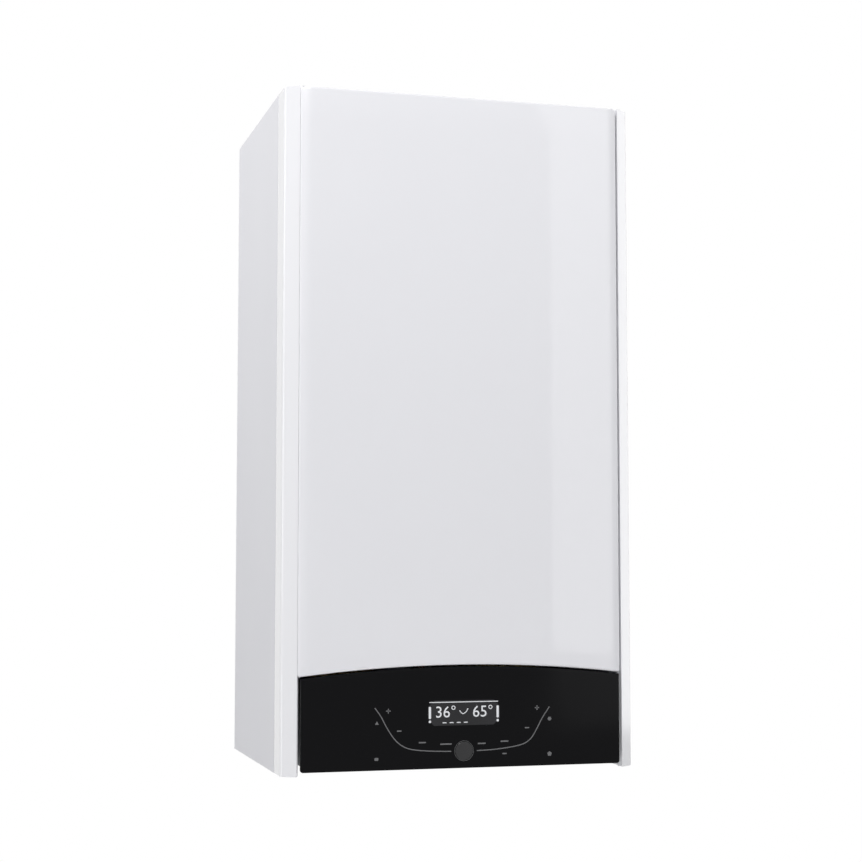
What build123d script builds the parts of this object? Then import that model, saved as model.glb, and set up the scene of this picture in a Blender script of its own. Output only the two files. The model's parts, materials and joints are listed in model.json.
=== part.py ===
"""Wall-hung condensing combi boiler, built piece by piece in millimetres.

+X is to the right as you face the boiler, -Y is its front, +Z is up. The origin is the middle
of the wall bracket's bolt line, on the wall. Heights are counted from the bottom of the casing.
"""

import math
import os

from build123d import *

# ---- Driving dimensions -------------------------------------------------------------------
casing_width = 400.0
casing_height = 745.0
casing_depth = 315.0  # wall to the front panel
bolt_height = 690.0  # casing bottom to the wall bolts
sheet = 1.0  # folded steel sheet
play = 0.3  # parts that seat without touching
fit = 0.05  # radial running clearance of pins and shafts
fine_flats = 48  # flats of the drum
round_flats = 32  # flats of cans and keys
pipe_flats = 16  # flats of pipes and pins
bore_flats = 12  # flats of a bore that a round pin turns in

# Corner strips and front panel
strip_face_width = 15.9
strip_slope = 11.5  # how far the bevel comes forward
strip_set_back = 4.5  # inner edge of the bevel behind the panel's face
strip_wrap = 33.0  # how far the strip reaches round the side
strip_wall = 2.4
strip_corner_radius = 3.5
strip_foot_radius = 2.0
groove = 2.6  # shadow gap between strip and panel
groove_depth = 6.5  # strip's face to the floor of the groove
panel_roll = 9.0  # radius of the panel's rolled edge
cover_depth = 43.0  # front panel's face to its rear flange
cover_flange = 13.5
cover_reach = 350.0  # how far the cover is drawn forward
arch_height = 115.8  # crown of the arched lower edge
arch_rise = 10.8
arch_return = 12.0

# Control panel
fascia_gap = 2.0
fascia_foot = 4.5
fascia_side_gap = 0.9  # inside the front panel's width
fascia_recess = 3.0  # behind the front panel's face
glass = 3.2
box_side_gap = 24.0  # casing side to the control box
box_foot = 9.0
box_height = 92.0
box_depth = 69.0
box_wall = 2.5
lid_wall = 2.0
hinge_height = 16.0
hinge_pin_radius = 3.0
hinge_back_set = 7.0  # box's rear edge to the hinge axis
display_width = 84.0
display_height = 29.0
display_middle = 64.5
key_height = 23.0
key_radius = 10.0
key_proud = 0.6
key_travel = 1.0
key_gap = 0.4

# Wall bracket
bracket_width = 320.0
bracket_height = 46.0
bracket_sheet = 2.5
bolt_spacing = 260.0
bolt_hole_radius = 4.5
hook_spacing = 170.0
hook_width = 30.0
hook_lip = 10.0
recess_depth = 8.0

# Pipe connections
tail_pitch = 65.0
tail_depth = 120.0
tail_drop = 10.0  # how far the tails stand below the casing
tail_shoulder = 12.0  # height where a tail narrows to pass the tray
heating_tail_radius = 13.2
water_tail_radius = 10.5
tray_height = 15.0
tray_set_back = 85.0  # bottom tray behind the panel's face
spout_radius = 7.5
spigot_radius = 10.5

# Heat exchanger and burner
drum_side_gap = 18.0  # drum to the expansion vessel's zone
drum_wall = 5.0
drum_height = 555.0  # centre above the casing bottom
drum_back = 28.0
drum_set_back = 155.0  # drum's flange behind the panel's face
flange_thickness = 6.0
coil_clearance = 10.0
coil_depth = 24.0
coil_turns = 3
coil_gap = 4.0
burner_radius = 35.0
burner_wall = 1.5
door_thickness = 8.0
duct_depth = 36.0
door_bolts = 6

# Fan and mixture
fan_inset = 65.0  # pump's axis to the fan's axis
fan_height = 350.0
fan_radius = 60.0
fan_wall = 2.5
fan_set_back = 95.0  # fan's front behind the panel's face
fan_thickness = 48.0
duct_width = 48.0
wheel_radius = 50.0
wheel_blades = 14
shaft_radius = 4.0
motor_radius = 36.0
motor_length = 36.0
mixer_radius = 27.0
mixer_length = 42.0
mixer_throat = 14.0
mixer_bore = 22.0
gas_pipe_radius = 8.0
valve_left = -30.0
valve_inset = 52.0  # pump's axis to the gas valve
valve_y = (-200.0, -104.0)
valve_z = (186.0, 268.0)
silencer_foot = 290.0
silencer_clearance = 19.0  # below the drum
silencer_gap = 40.0  # wall to the silencer

# Flue
flue_depth = 95.0  # wall to the flue's axis
flue_bore = 30.2
air_bore = 48.5
collar_height = 32.0
collar_wall = 1.5
collar_plate = 140.0

# Water side
pipe_inset = 115.0  # casing side to the flow and return pipes
pipe_depth = 95.0
pipe_radius = 11.0
pipe_wall = 1.2
block_z = (40.0, 120.0)
block_y = (-148.0, -70.0)
flow_block_inner = -45.0
return_block_x = (45.0, 150.0)
plate_pack_width = 200.0
plate_pack_height = 70.0
plate_pack_depth = 44.0
plate_grooves = 3
pump_inset = 25.0  # return pipe's axis to the pump's axis
pump_height = 168.0
pump_radius = 46.0
pump_back = 80.0
pump_front = 128.0
can_radius = 42.0
can_length = 66.0
rotor_radius = 20.0
impeller_radius = 34.0
impeller_blades = 6
actuator_width = 50.0
hose_nut = 9.5
hose_clearance = 1.2
diverter_depth = 118.0
diverter_bore = 9.0
diverter_travel = 8.0
rod_radius = 3.0
relief_x = 70.0
relief_height = 80.0
relief_stem = 4.0
tap_x = 97.5
tap_stem = 3.0
vessel_thickness = 76.0
vessel_wall = 1.5
vessel_set_back = 93.0  # vessel behind the panel's face
vessel_wall_gap = 22.0
vessel_z = (262.0, 700.0)
trap_x = -45.0
trap_depth = 175.0
trap_radius = 24.0
hose_inset = 12.0  # hose's axis behind the drum's flange
hose_radius = 12.0
hose_neck = 10.0

# ---- Worked out from the driving dimensions -------------------------------------------------
base = -bolt_height
half = casing_width / 2
inner = half - sheet  # inside face of a side panel
strip_inner = half - strip_face_width
strip_front = -casing_depth + strip_set_back
strip_corner = strip_front + strip_slope
strip_back = strip_corner + strip_wrap
panel_half = strip_inner - groove
panel_front = -casing_depth
cover_back = panel_front + cover_depth
chassis_front = strip_back + sheet  # the side panels' front flange
seal_front = cover_back + sheet + play
arch_radius = (panel_half**2 + arch_rise**2) / (2 * arch_rise)
fascia_front = panel_front + fascia_recess
box_front = fascia_front + glass
box_back = box_front + box_depth
hinge_y = box_back - hinge_back_set
box_half_width = half - box_side_gap
fascia_half_width = panel_half - fascia_side_gap
tray_depth = casing_depth - tray_set_back
tray_top = tray_height + sheet
tail_hex = 14.0
tail_top = tray_top + play + tail_hex
tail_xs = [tail_pitch * n for n in (-2, -1, 0, 1, 2)]
drum_radius = half - vessel_thickness - drum_side_gap
drum_front = casing_depth - drum_set_back
coil_outer = drum_radius - coil_clearance
coil_inner = coil_outer - coil_depth
door_bolt_circle = drum_radius - 1.0
door_front = -(drum_front + flange_thickness + door_thickness)
fan_front = casing_depth - fan_set_back
wheel_front = fan_front - 8.0
pipe_x = half - pipe_inset
pump_x = pipe_x + pump_inset
fan_x = pump_x - fan_inset
valve_x = (valve_left, pump_x - valve_inset)
silencer_x = (-pipe_x + 23.0, pipe_x - 13.0)
silencer_z = (silencer_foot, drum_height - drum_radius - silencer_clearance)
hose_depth = drum_front - hose_inset
vessel_y = (-casing_depth + vessel_set_back, -vessel_wall_gap)
vessel_middle = -inner + play + vessel_thickness / 2
diverter_x = vessel_middle + hose_nut + hose_clearance + actuator_width / 2
flow_block_x = (vessel_middle - 7.3, flow_block_inner)
collar_top = casing_height + sheet + collar_height
seam_turn = 22.0  # keeps a cylinder's seam line away from ribs and ears


def level(height):
    """Plan plane at a height, drawn in X and Y."""
    return Plane.XY.offset(base + height)


def facing(y):
    """Upright plane that faces the room, drawn in X and height."""
    return Plane(origin=(0, y, base), x_dir=(1, 0, 0), z_dir=(0, -1, 0))


def side(x):
    """Upright plane across the boiler, drawn in Y and height."""
    return Plane(origin=(x, 0, base), x_dir=(0, 1, 0), z_dir=(1, 0, 0))


def block(x, y, z, mode=Mode.ADD):
    """A block between two values on each axis."""
    with BuildSketch(level(z[0])) as outline:
        with Locations(((x[0] + x[1]) / 2, (y[0] + y[1]) / 2)):
            Rectangle(x[1] - x[0], y[1] - y[0])
    extrude(outline.sketch, amount=z[1] - z[0], mode=mode)


def upright(x, y, z, radius, mode=Mode.ADD, sides=0):
    """A bar or hole along Z, from z[0] to z[1]: round, or with that many flats."""
    with BuildSketch(level(z[0])) as outline:
        with Locations((x, y)):
            if sides:
                RegularPolygon(radius, sides)
            else:
                Circle(radius)
    extrude(outline.sketch, amount=z[1] - z[0], mode=mode)


def forward(x, height, y, radius, mode=Mode.ADD, sides=0):
    """A bar or hole along Y, from the rear y[0] to the front y[1]: round, or with flats."""
    with BuildSketch(facing(y[0])) as outline:
        if sides:
            with Locations((x, height)):
                RegularPolygon(radius, sides)
        else:
            with Locations(Location((x, height), seam_turn)):
                Circle(radius)
    extrude(outline.sketch, amount=y[0] - y[1], mode=mode)


def bore(radius):
    """Corner radius of a flat-sided bore that leaves a round pin of that radius its play."""
    return (radius + fit) / math.cos(math.pi / bore_flats)


def folded(points, thickness):
    """Outline of a sheet bent along the points, its thickness on their left."""
    left = []
    for n, point in enumerate(points):
        turns = []
        for a, b in ((n - 1, n), (n, n + 1)):
            if a >= 0 and b < len(points):
                run = Vector(*points[b]) - Vector(*points[a])
                turns.append(Vector(-run.Y, run.X).normalized())
        normal = (turns[0] + turns[-1]).normalized()
        reach = thickness / normal.dot(turns[0])
        left.append((point[0] + normal.X * reach, point[1] + normal.Y * reach))
    Polygon(*points, *reversed(left), align=None)


def arch(height, radius):
    """The area below an arch of the cover's shape, in a facing plane."""
    reach = half
    drop = radius - math.sqrt(radius**2 - reach**2)
    with BuildLine() as outline:
        ThreePointArc((-reach, height - drop), (0, height), (reach, height - drop))
        Polyline(
            (reach, height - drop), (reach, -reach), (-reach, -reach), (-reach, height - drop)
        )
    make_face(outline.edges())


# ---- Casing ---------------------------------------------------------------------------------
def wall_bracket():
    with BuildPart() as wall_bracket:
        with BuildSketch(facing(0)):
            with Locations((0, bolt_height)):
                Rectangle(bracket_width, bracket_height)
                with GridLocations(bolt_spacing, 0, 2, 1):
                    Circle(bolt_hole_radius, mode=Mode.SUBTRACT)
        extrude(amount=bracket_sheet)
        tongue = bolt_height + bracket_height / 2 - 7.0
        reach = -recess_depth - sheet - play
        for x in (-hook_spacing / 2, hook_spacing / 2):
            with BuildSketch(side(x - hook_width / 2)):
                folded(
                    [
                        (-bracket_sheet, tongue),
                        (reach, tongue),
                        (reach, tongue + hook_lip),
                    ],
                    bracket_sheet,
                )
            extrude(amount=hook_width)
    return wall_bracket.part


def back_plate():
    tongue = bolt_height + bracket_height / 2 - 7.0
    low = bolt_height - bracket_height / 2 - 6.0
    high = bolt_height + bracket_height / 2 + 8.0
    wide = bracket_width / 2 + 8.0
    with BuildPart() as back_plate:
        block((-inner + 0.1, inner - 0.1), (-sheet, 0), (1, casing_height - sheet))
        block((-wide, wide), (-recess_depth - sheet, 0), (low, high))
        block(
            (-wide + sheet, wide - sheet),
            (-recess_depth, 0),
            (low + sheet, high - sheet),
            mode=Mode.SUBTRACT,
        )
        for x in (-hook_spacing / 2, hook_spacing / 2):
            block(
                (x - hook_width / 2 - 2, x + hook_width / 2 + 2),
                (-recess_depth - sheet, -recess_depth),
                (tongue - hook_lip - 6, tongue + play),
                mode=Mode.SUBTRACT,
            )
        for x in (-120, 120):
            block((x - 18, x + 18), (-5, 0), (150, 620))
            block((x - 17, x + 17), (-4, 0), (151, 619), mode=Mode.SUBTRACT)
    return back_plate.part


def side_panel(mirrored):
    with BuildPart() as side_panel:
        with BuildSketch(level(tray_top)):
            folded(
                [
                    (-inner + 12, -sheet),
                    (-half, -sheet),
                    (-half, chassis_front - sheet),
                    (-half + 15, chassis_front - sheet),
                ],
                sheet,
            )
        extrude(amount=casing_height - tray_top - 16)
        block((-half, -inner), (chassis_front - sheet, 0), (0, casing_height))
        if mirrored:
            mirror(about=Plane.YZ, mode=Mode.REPLACE)
    return side_panel.part


def top_panel():
    rear, front = 0.0, chassis_front
    with BuildPart() as top_panel:
        with BuildSketch(facing(rear)):
            folded(
                [
                    (-inner + 0.1, casing_height - 14),
                    (-inner + 0.1, casing_height),
                    (inner - 0.1, casing_height),
                    (inner - 0.1, casing_height - 14),
                ],
                -sheet,
            )
        extrude(amount=rear - front)
        block(
            (-inner + 0.1, inner - 0.1),
            (-sheet, 0),
            (casing_height - 14, casing_height - sheet),
            mode=Mode.SUBTRACT,
        )
        block(
            (-inner + 1.1, inner - 1.1),
            (front, front + sheet),
            (casing_height - 30, casing_height),
        )
        for x in (-inner, inner):
            block(
                (x - 1.2, x + 1.2),
                (-2 * sheet - 0.2, -sheet),
                (casing_height - 16, casing_height - sheet),
                mode=Mode.SUBTRACT,
            )
        mouth = (casing_height - 2, casing_height)
        upright(0, -flue_depth, mouth, air_bore, Mode.SUBTRACT, round_flats)
    return top_panel.part


def bottom_tray():
    left, right = -inner + 0.1, inner - 0.1
    back, front = -2 * sheet - 0.5, -tray_depth
    with BuildPart() as bottom_tray:
        block((left, right), (front, back), (tray_height, tray_top + 11))
        block(
            (left + sheet, right - sheet),
            (front + sheet, back - sheet),
            (tray_top, tray_top + 11),
            mode=Mode.SUBTRACT,
        )
        with BuildSketch(level(tray_height)):
            for x in tail_xs:
                with Locations((x, -tail_depth)):
                    RegularPolygon(heating_tail_radius + 0.5, 8)
            with Locations((trap_x, -trap_depth)):
                RegularPolygon(spigot_radius + 1.0, 8)
            with Locations((relief_x, relief_spout_y)):
                RegularPolygon(spout_radius + 0.8, 8)
            with Locations((tap_x, -tail_depth)):
                RegularPolygon(11.5, 8)
            with Locations(gland_place):
                RegularPolygon(gland_radius + 0.5, 12)
        extrude(amount=sheet, mode=Mode.SUBTRACT)
    return bottom_tray.part


def cross_bar():
    with BuildPart() as cross_bar:
        with BuildSketch(side(-panel_half)):
            folded(
                [
                    (chassis_front + 14, arch_height + 14),
                    (chassis_front, arch_height + 14),
                    (chassis_front, arch_height + 2),
                ],
                sheet,
            )
        extrude(amount=2 * panel_half)
        for x in (-1, 1):
            block(
                sorted((x * (panel_half - 4), x * (inner - 0.2))),
                (chassis_front, chassis_front + sheet),
                (arch_height + 2, arch_height + 14),
            )
    return cross_bar.part


def casing_seal():
    low, high = arch_height + 3, casing_height - 6
    out, within = inner - 3.0, inner - 12.0
    with BuildPart() as casing_seal:
        with BuildSketch(facing(chassis_front - sheet)):
            with Locations((0, (low + high) / 2)):
                Rectangle(2 * out, high - low)
                Rectangle(2 * within, high - low - 20, mode=Mode.SUBTRACT)
        extrude(amount=chassis_front - sheet - seal_front)
    return casing_seal.part


pin_height = casing_height - 24.0
pin_spacing = 240.0
pin_radius = 3.0
hanger_y = panel_front + 27.0


def cover_pins():
    with BuildPart() as cover_pins:
        for x in (-pin_spacing / 2, pin_spacing / 2):
            forward(x, pin_height, (chassis_front, hanger_y - 8), pin_radius, sides=pipe_flats)
            forward(x, pin_height, (chassis_front, chassis_front - 2), 6.0, sides=6)
    return cover_pins.part


def cover_hanger():
    wide = pin_spacing / 2 + 20
    with BuildPart() as cover_hanger:
        with BuildSketch(side(-wide)):
            folded(
                [
                    (hanger_y - 14, casing_height - sheet),
                    (hanger_y, casing_height - sheet),
                    (hanger_y, pin_height - 10),
                ],
                -1.2,
            )
        extrude(amount=2 * wide)
        for x in (-pin_spacing / 2, pin_spacing / 2):
            hole = (hanger_y + 2, hanger_y - 2)
            forward(x, pin_height, hole, pin_radius + fit, Mode.SUBTRACT, pipe_flats)
    return cover_hanger.part


# ---- Front cover ----------------------------------------------------------------------------
def front_panel():
    roll = panel_roll
    out = panel_half
    with BuildPart() as front_panel:
        with BuildSketch(level(arch_height - arch_rise - 5)):
            with BuildLine():
                Polyline((-out - cover_flange, cover_back), (-out, cover_back), (-out, panel_front + roll))
                RadiusArc((-out, panel_front + roll), (-out + roll, panel_front), -roll)
                Line((-out + roll, panel_front), (out - roll, panel_front))
                RadiusArc((out - roll, panel_front), (out, panel_front + roll), -roll)
                Polyline(
                    (out, panel_front + roll),
                    (out, cover_back),
                    (out + cover_flange, cover_back),
                    (out + cover_flange, cover_back + sheet),
                    (out - sheet, cover_back + sheet),
                    (out - sheet, panel_front + roll),
                )
                RadiusArc(
                    (out - sheet, panel_front + roll),
                    (out - roll, panel_front + sheet),
                    roll - sheet,
                )
                Line((out - roll, panel_front + sheet), (-out + roll, panel_front + sheet))
                RadiusArc(
                    (-out + roll, panel_front + sheet),
                    (-out + sheet, panel_front + roll),
                    roll - sheet,
                )
                Polyline(
                    (-out + sheet, panel_front + roll),
                    (-out + sheet, cover_back + sheet),
                    (-out - cover_flange, cover_back + sheet),
                    (-out - cover_flange, cover_back),
                )
            make_face()
        extrude(amount=casing_height - (arch_height - arch_rise - 5))
        with BuildSketch(facing(0)):
            arch(arch_height, arch_radius)
        extrude(amount=casing_depth + 5, mode=Mode.SUBTRACT)
        with BuildSketch(facing(panel_front + arch_return)):
            arch(arch_height + sheet, arch_radius + sheet)
            with Locations((0, arch_height)):
                Rectangle(2 * out - sheet, 3 * arch_rise, mode=Mode.INTERSECT)
            with BuildSketch(mode=Mode.SUBTRACT):
                arch(arch_height, arch_radius)
        extrude(amount=arch_return - sheet / 2)
        block(
            (-out + sheet / 2, out - sheet / 2),
            (panel_front + roll, cover_back + sheet),
            (casing_height - sheet, casing_height),
        )
        with BuildSketch(level(casing_height - sheet)):
            with BuildLine():
                Polyline(
                    (-out + sheet / 2, panel_front + roll),
                    (-out + roll, panel_front + sheet / 2),
                    (out - roll, panel_front + sheet / 2),
                    (out - sheet / 2, panel_front + roll),
                    close=True,
                )
            make_face()
        extrude(amount=sheet)
    return front_panel.part


def strip_outline():
    return [
        (-half, strip_back),
        (-half, strip_corner),
        (-strip_inner, strip_front),
        (-strip_inner, cover_back),
    ]


screw_x = half - 9.0
screw_y = strip_back + 8.0


def corner_strip(mirrored):
    with BuildPart() as corner_strip:
        with BuildSketch(level(0)):
            folded(strip_outline(), strip_wall)
        extrude(amount=casing_height)
        nose = corner_strip.edges().filter_by(Axis.Z)
        nose = nose.filter_by_position(Axis.X, -half - 0.1, -half + 0.1)
        nose = nose.filter_by_position(Axis.Y, strip_corner - 0.1, strip_corner + 0.1)
        fillet(nose, strip_corner_radius)
        for height in (0, casing_height - strip_wall):
            with BuildSketch(level(height)):
                with BuildLine():
                    Polyline(
                        (-half + strip_wall, cover_back),
                        (-half + strip_wall, strip_corner - 1),
                        (-strip_inner - 1, strip_front + 1.5),
                        (-strip_inner - 1, cover_back),
                        close=True,
                    )
                make_face()
            extrude(amount=strip_wall)
        block(
            (-half + strip_wall - 0.4, -screw_x + 4.5),
            (cover_back, screw_y + 4),
            (5, 8),
        )
        block((-half + strip_wall - 0.4, -screw_x + 4.5), (cover_back - 3, cover_back), (0, 8))
        block(
            (-strip_inner - 1, -panel_half - fit),
            (strip_front + groove_depth, strip_front + groove_depth + sheet),
            (0, casing_height),
        )
        upright(-screw_x, screw_y, (5, 8), 2.2, Mode.SUBTRACT)
        if mirrored:
            mirror(about=Plane.YZ, mode=Mode.REPLACE)
    return corner_strip.part


def cover_screws():
    with BuildPart() as cover_screws:
        for x in (-screw_x, screw_x):
            upright(x, screw_y, (2.2, 5), 4.0, sides=6)
            upright(x, screw_y, (5, 15), 2.0, sides=8)
    return cover_screws.part


# ---- Control panel --------------------------------------------------------------------------
def hinge_brackets():
    x = inner - 12
    foot_y = -tray_depth - 1.8 - play
    with BuildPart() as hinge_brackets:
        for turn in (-1, 1):
            with BuildSketch(level(box_foot)):
                folded(
                    [
                        (turn * (inner - 0.1), foot_y),
                        (turn * x, foot_y),
                        (turn * x, chassis_front - sheet + 4),
                    ],
                    -turn * 1.8,
                )
            extrude(amount=50)
            block(
                sorted((turn * x, turn * (inner - 1.5))),
                (chassis_front - sheet + 4, hinge_y + 10),
                (box_foot, box_foot + 1.5),
            )
            block(
                sorted((turn * (screw_x - 2.3), turn * (screw_x + 2.3))),
                (chassis_front - sheet + 4, screw_y + 2.3),
                (box_foot, box_foot + 1.5),
                mode=Mode.SUBTRACT,
            )
        with BuildSketch(side(-half)):
            with Locations((hinge_y, hinge_height)):
                RegularPolygon(bore(hinge_pin_radius), bore_flats)
        extrude(amount=casing_width, mode=Mode.SUBTRACT)
    return hinge_brackets.part


def hinge_pins():
    with BuildPart() as hinge_pins:
        for turn in (-1, 1):
            start = turn * (inner - 12) + turn * 3.0
            with BuildSketch(side(start)):
                with Locations((hinge_y, hinge_height)):
                    Circle(hinge_pin_radius)
            extrude(amount=-turn * 20)
            with BuildSketch(side(start)):
                with Locations((hinge_y, hinge_height)):
                    RegularPolygon(5.0, 8)
            extrude(amount=-turn * 3.0)
    return hinge_pins.part


def fascia():
    with BuildPart() as fascia:
        with BuildSketch(facing(box_front)):
            arch(arch_height - fascia_gap, arch_radius)
            with Locations((0, arch_height + fascia_foot)):
                Rectangle(2 * fascia_half_width, 2 * arch_height, mode=Mode.INTERSECT)
            with Locations((0, key_height)):
                RegularPolygon(key_radius + key_gap, round_flats, mode=Mode.SUBTRACT)
        extrude(amount=glass)
        corners = fascia.edges().filter_by(Axis.Y).sort_by(Axis.Z)[:2]
        fillet(corners, 3.0)
    return fascia.part


def control_box():
    rim_inset = 3.0
    top = box_foot + box_height
    with BuildPart() as control_box:
        with BuildSketch(facing(box_back)):
            with Locations((0, box_foot + box_height / 2)):
                Rectangle(2 * box_half_width, box_height)
        extrude(amount=box_depth - 0.1)
        with BuildSketch(facing(box_back)):
            with Locations((0, box_foot + box_height / 2)):
                Rectangle(2 * (box_half_width - box_wall), box_height - 2 * box_wall)
        extrude(amount=box_depth - box_wall, mode=Mode.SUBTRACT)
        with BuildSketch(facing(box_front + box_wall)):
            arch(arch_height - fascia_gap - rim_inset, arch_radius)
            with Locations((0, arch_height + top - 6)):
                Rectangle(2 * (box_half_width - 1), 2 * arch_height, mode=Mode.INTERSECT)
        extrude(amount=box_wall)
        with BuildSketch(facing(box_front + box_wall)):
            with Locations((0, display_middle)):
                Rectangle(display_width + 8, display_height + 6)
            with Locations((0, key_height)):
                RegularPolygon(key_radius + key_gap, round_flats)
        extrude(amount=box_wall, mode=Mode.SUBTRACT)
        with BuildSketch(facing(board_y)):
            for x, height in board_posts:
                with Locations((x, height)):
                    Rectangle(7, 7)
        extrude(amount=board_y - box_front - box_wall / 2)
        with BuildSketch(facing(display_board_y)):
            for x, height in display_posts:
                with Locations((x, height)):
                    Rectangle(5, 5)
        extrude(amount=display_board_y - box_front - box_wall / 2)
        for turn in (-1, 1):
            with BuildSketch(side(turn * (box_half_width - 8))):
                with Locations((hinge_y, hinge_height)):
                    Rectangle(13, 13)
            extrude(amount=turn * 8)
        with BuildSketch(side(-box_half_width)):
            with Locations((hinge_y, hinge_height)):
                RegularPolygon(bore(hinge_pin_radius), bore_flats)
        extrude(amount=2 * box_half_width, mode=Mode.SUBTRACT)
    return control_box.part


def control_lid():
    with BuildPart() as control_lid:
        with BuildSketch(facing(box_back + lid_wall)):
            with Locations((0, box_foot + box_height / 2)):
                Rectangle(2 * box_half_width, box_height)
        extrude(amount=lid_wall)
        with BuildSketch(facing(box_back)):
            with Locations((0, box_foot + box_height / 2 + 10)):
                Rectangle(2 * (box_half_width - box_wall - 1), box_height - 2 * box_wall - 24)
                Rectangle(
                    2 * (box_half_width - box_wall - 3),
                    box_height - 2 * box_wall - 28,
                    mode=Mode.SUBTRACT,
                )
        extrude(amount=3)
        with BuildSketch(facing(box_back + lid_wall)):
            with Locations((-120, box_foot + 20)):
                with GridLocations(16, 0, 4, 1):
                    Rectangle(8, 10)
        extrude(amount=lid_wall, mode=Mode.SUBTRACT)
    return control_lid.part


board_y = box_front + 46.0
board_sheet = 1.6
board_posts = [(-140, 26), (140, 26), (-140, 88), (140, 88)]
display_board_y = box_front + 12.0
display_posts = [(-56, 18), (56, 18), (-56, 88), (56, 88)]


def circuit_board():
    with BuildPart() as circuit_board:
        with BuildSketch(facing(board_y + board_sheet)):
            with Locations((0, box_foot + box_height / 2 + 1)):
                Rectangle(300, 78)
        extrude(amount=board_sheet)
        rear = board_y + board_sheet
        tall = {
            "transformer": ((-145, -105), 13, (36, 72)),
            "relay_left": ((-92, -76), 12, (60, 84)),
            "relay_middle": ((-70, -54), 12, (60, 84)),
            "capacitor": ((-40, -24), 13, (56, 72)),
            "fuse": ((-96, -60), 7, (32, 38)),
            "chip": ((20, 44), 3, (44, 68)),
            "plug_row": ((60, 130), 11, (24, 34)),
            "plug_pair": ((60, 96), 11, (74, 84)),
        }
        for x, rise, z in tall.values():
            block(x, (rear, rear + rise), z)
    return circuit_board.part


def display_module():
    rear = display_board_y
    low, high = display_middle - display_height / 2, display_middle + display_height / 2
    wide = display_width / 2
    with BuildPart() as display_module:
        block((-62, 62), (rear, rear + board_sheet), (12, 95))
        block((-wide - 3, wide + 3), (box_front + box_wall + 1, rear), (low - 2, high + 2))
        block((-wide, wide), (box_front + play, box_front + box_wall + 1), (low, high))
        block((-3.5, 3.5), (rear - 3.0, rear), (key_height - 3.5, key_height + 3.5))
    return display_module.part


def push_key():
    face = fascia_front - key_proud
    flange = box_front + box_wall + play
    stem_end = display_board_y - 3.0 - key_travel - play
    with BuildPart() as push_key:
        forward(0, key_height, (flange + 1.2, face), key_radius, sides=round_flats)
        forward(0, key_height, (flange + 1.2, flange), key_radius + 1.4, sides=pipe_flats)
        forward(0, key_height, (stem_end, flange), 3.5, sides=6)
    return push_key.part


# ---- Heat exchanger, burner and fan -----------------------------------------------------------
def exchanger_bracket():
    with BuildPart() as exchanger_bracket:
        for x in (-60, 60):
            with BuildSketch(level(drum_height - 45)):
                folded(
                    [
                        (x - 30, -sheet),
                        (x - 18, -sheet),
                        (x - 18, -drum_back + 1.5),
                        (x + 18, -drum_back + 1.5),
                        (x + 18, -sheet),
                        (x + 30, -sheet),
                    ],
                    -1.5,
                )
            extrude(amount=90)
    return exchanger_bracket.part


neck_low = 425.0
boss_low = 455.0
neck_top = casing_height - 22.0


def exchanger_housing():
    back, front = -drum_back, -drum_front
    cavity = drum_radius - drum_wall
    with BuildPart() as exchanger_housing:
        shell = (back, front - flange_thickness)
        forward(0, drum_height, shell, drum_radius, sides=fine_flats)
        with BuildSketch(facing(front)):
            with Locations((0, drum_height)):
                with PolarLocations(door_bolt_circle, door_bolts):
                    Rectangle(18, 22)
        extrude(amount=flange_thickness)
        neck_wide = flue_bore + 5
        block(
            (-neck_wide, neck_wide),
            (-flue_depth - neck_wide, -flue_depth + neck_wide),
            (drum_height + 60, neck_top),
        )
        for x in (-pipe_x, pipe_x):
            block((x - 17, x + 17), (-pipe_depth - 17, -pipe_depth + 17), (boss_low, drum_height - 40))
        upright(trap_x, -hose_depth, (neck_low, drum_height - 60), hose_neck, sides=16)
        hollow = (back - drum_wall, front - flange_thickness)
        forward(0, drum_height, hollow, cavity, Mode.SUBTRACT, 24)
        upright(0, -flue_depth, (drum_height, neck_top), flue_bore, Mode.SUBTRACT, 24)
    return exchanger_housing.part


def exchanger_coil():
    depth = (drum_front - 22) - (drum_back + drum_wall)
    turn = (depth + coil_gap) / coil_turns - coil_gap
    start = -drum_back - drum_wall
    with BuildPart() as exchanger_coil:
        for n in range(coil_turns):
            rear = start - n * (turn + coil_gap)
            forward(0, drum_height, (rear, rear - turn), coil_outer, sides=pipe_flats)
        forward(0, drum_height, (start, start - depth), coil_inner + 6, sides=pipe_flats)
        forward(0, drum_height, (start, start - depth), coil_inner, Mode.SUBTRACT, pipe_flats)
    return exchanger_coil.part


def burner_tube():
    front = -(drum_front + flange_thickness)
    length = drum_front + flange_thickness - drum_back - drum_wall - 28.0
    with BuildPart() as burner_tube:
        forward(0, drum_height, (front + length, front), burner_radius, sides=pipe_flats)
        forward(0, drum_height, (front + 3, front), burner_radius + 12, sides=pipe_flats)
        within = burner_radius - burner_wall
        hollow = (front + length - burner_wall, front)
        forward(0, drum_height, hollow, within, Mode.SUBTRACT, pipe_flats)
    return burner_tube.part


duct_foot = fan_height + fan_radius + 27.0
duct_x = fan_x - fan_radius + duct_width / 2


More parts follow.
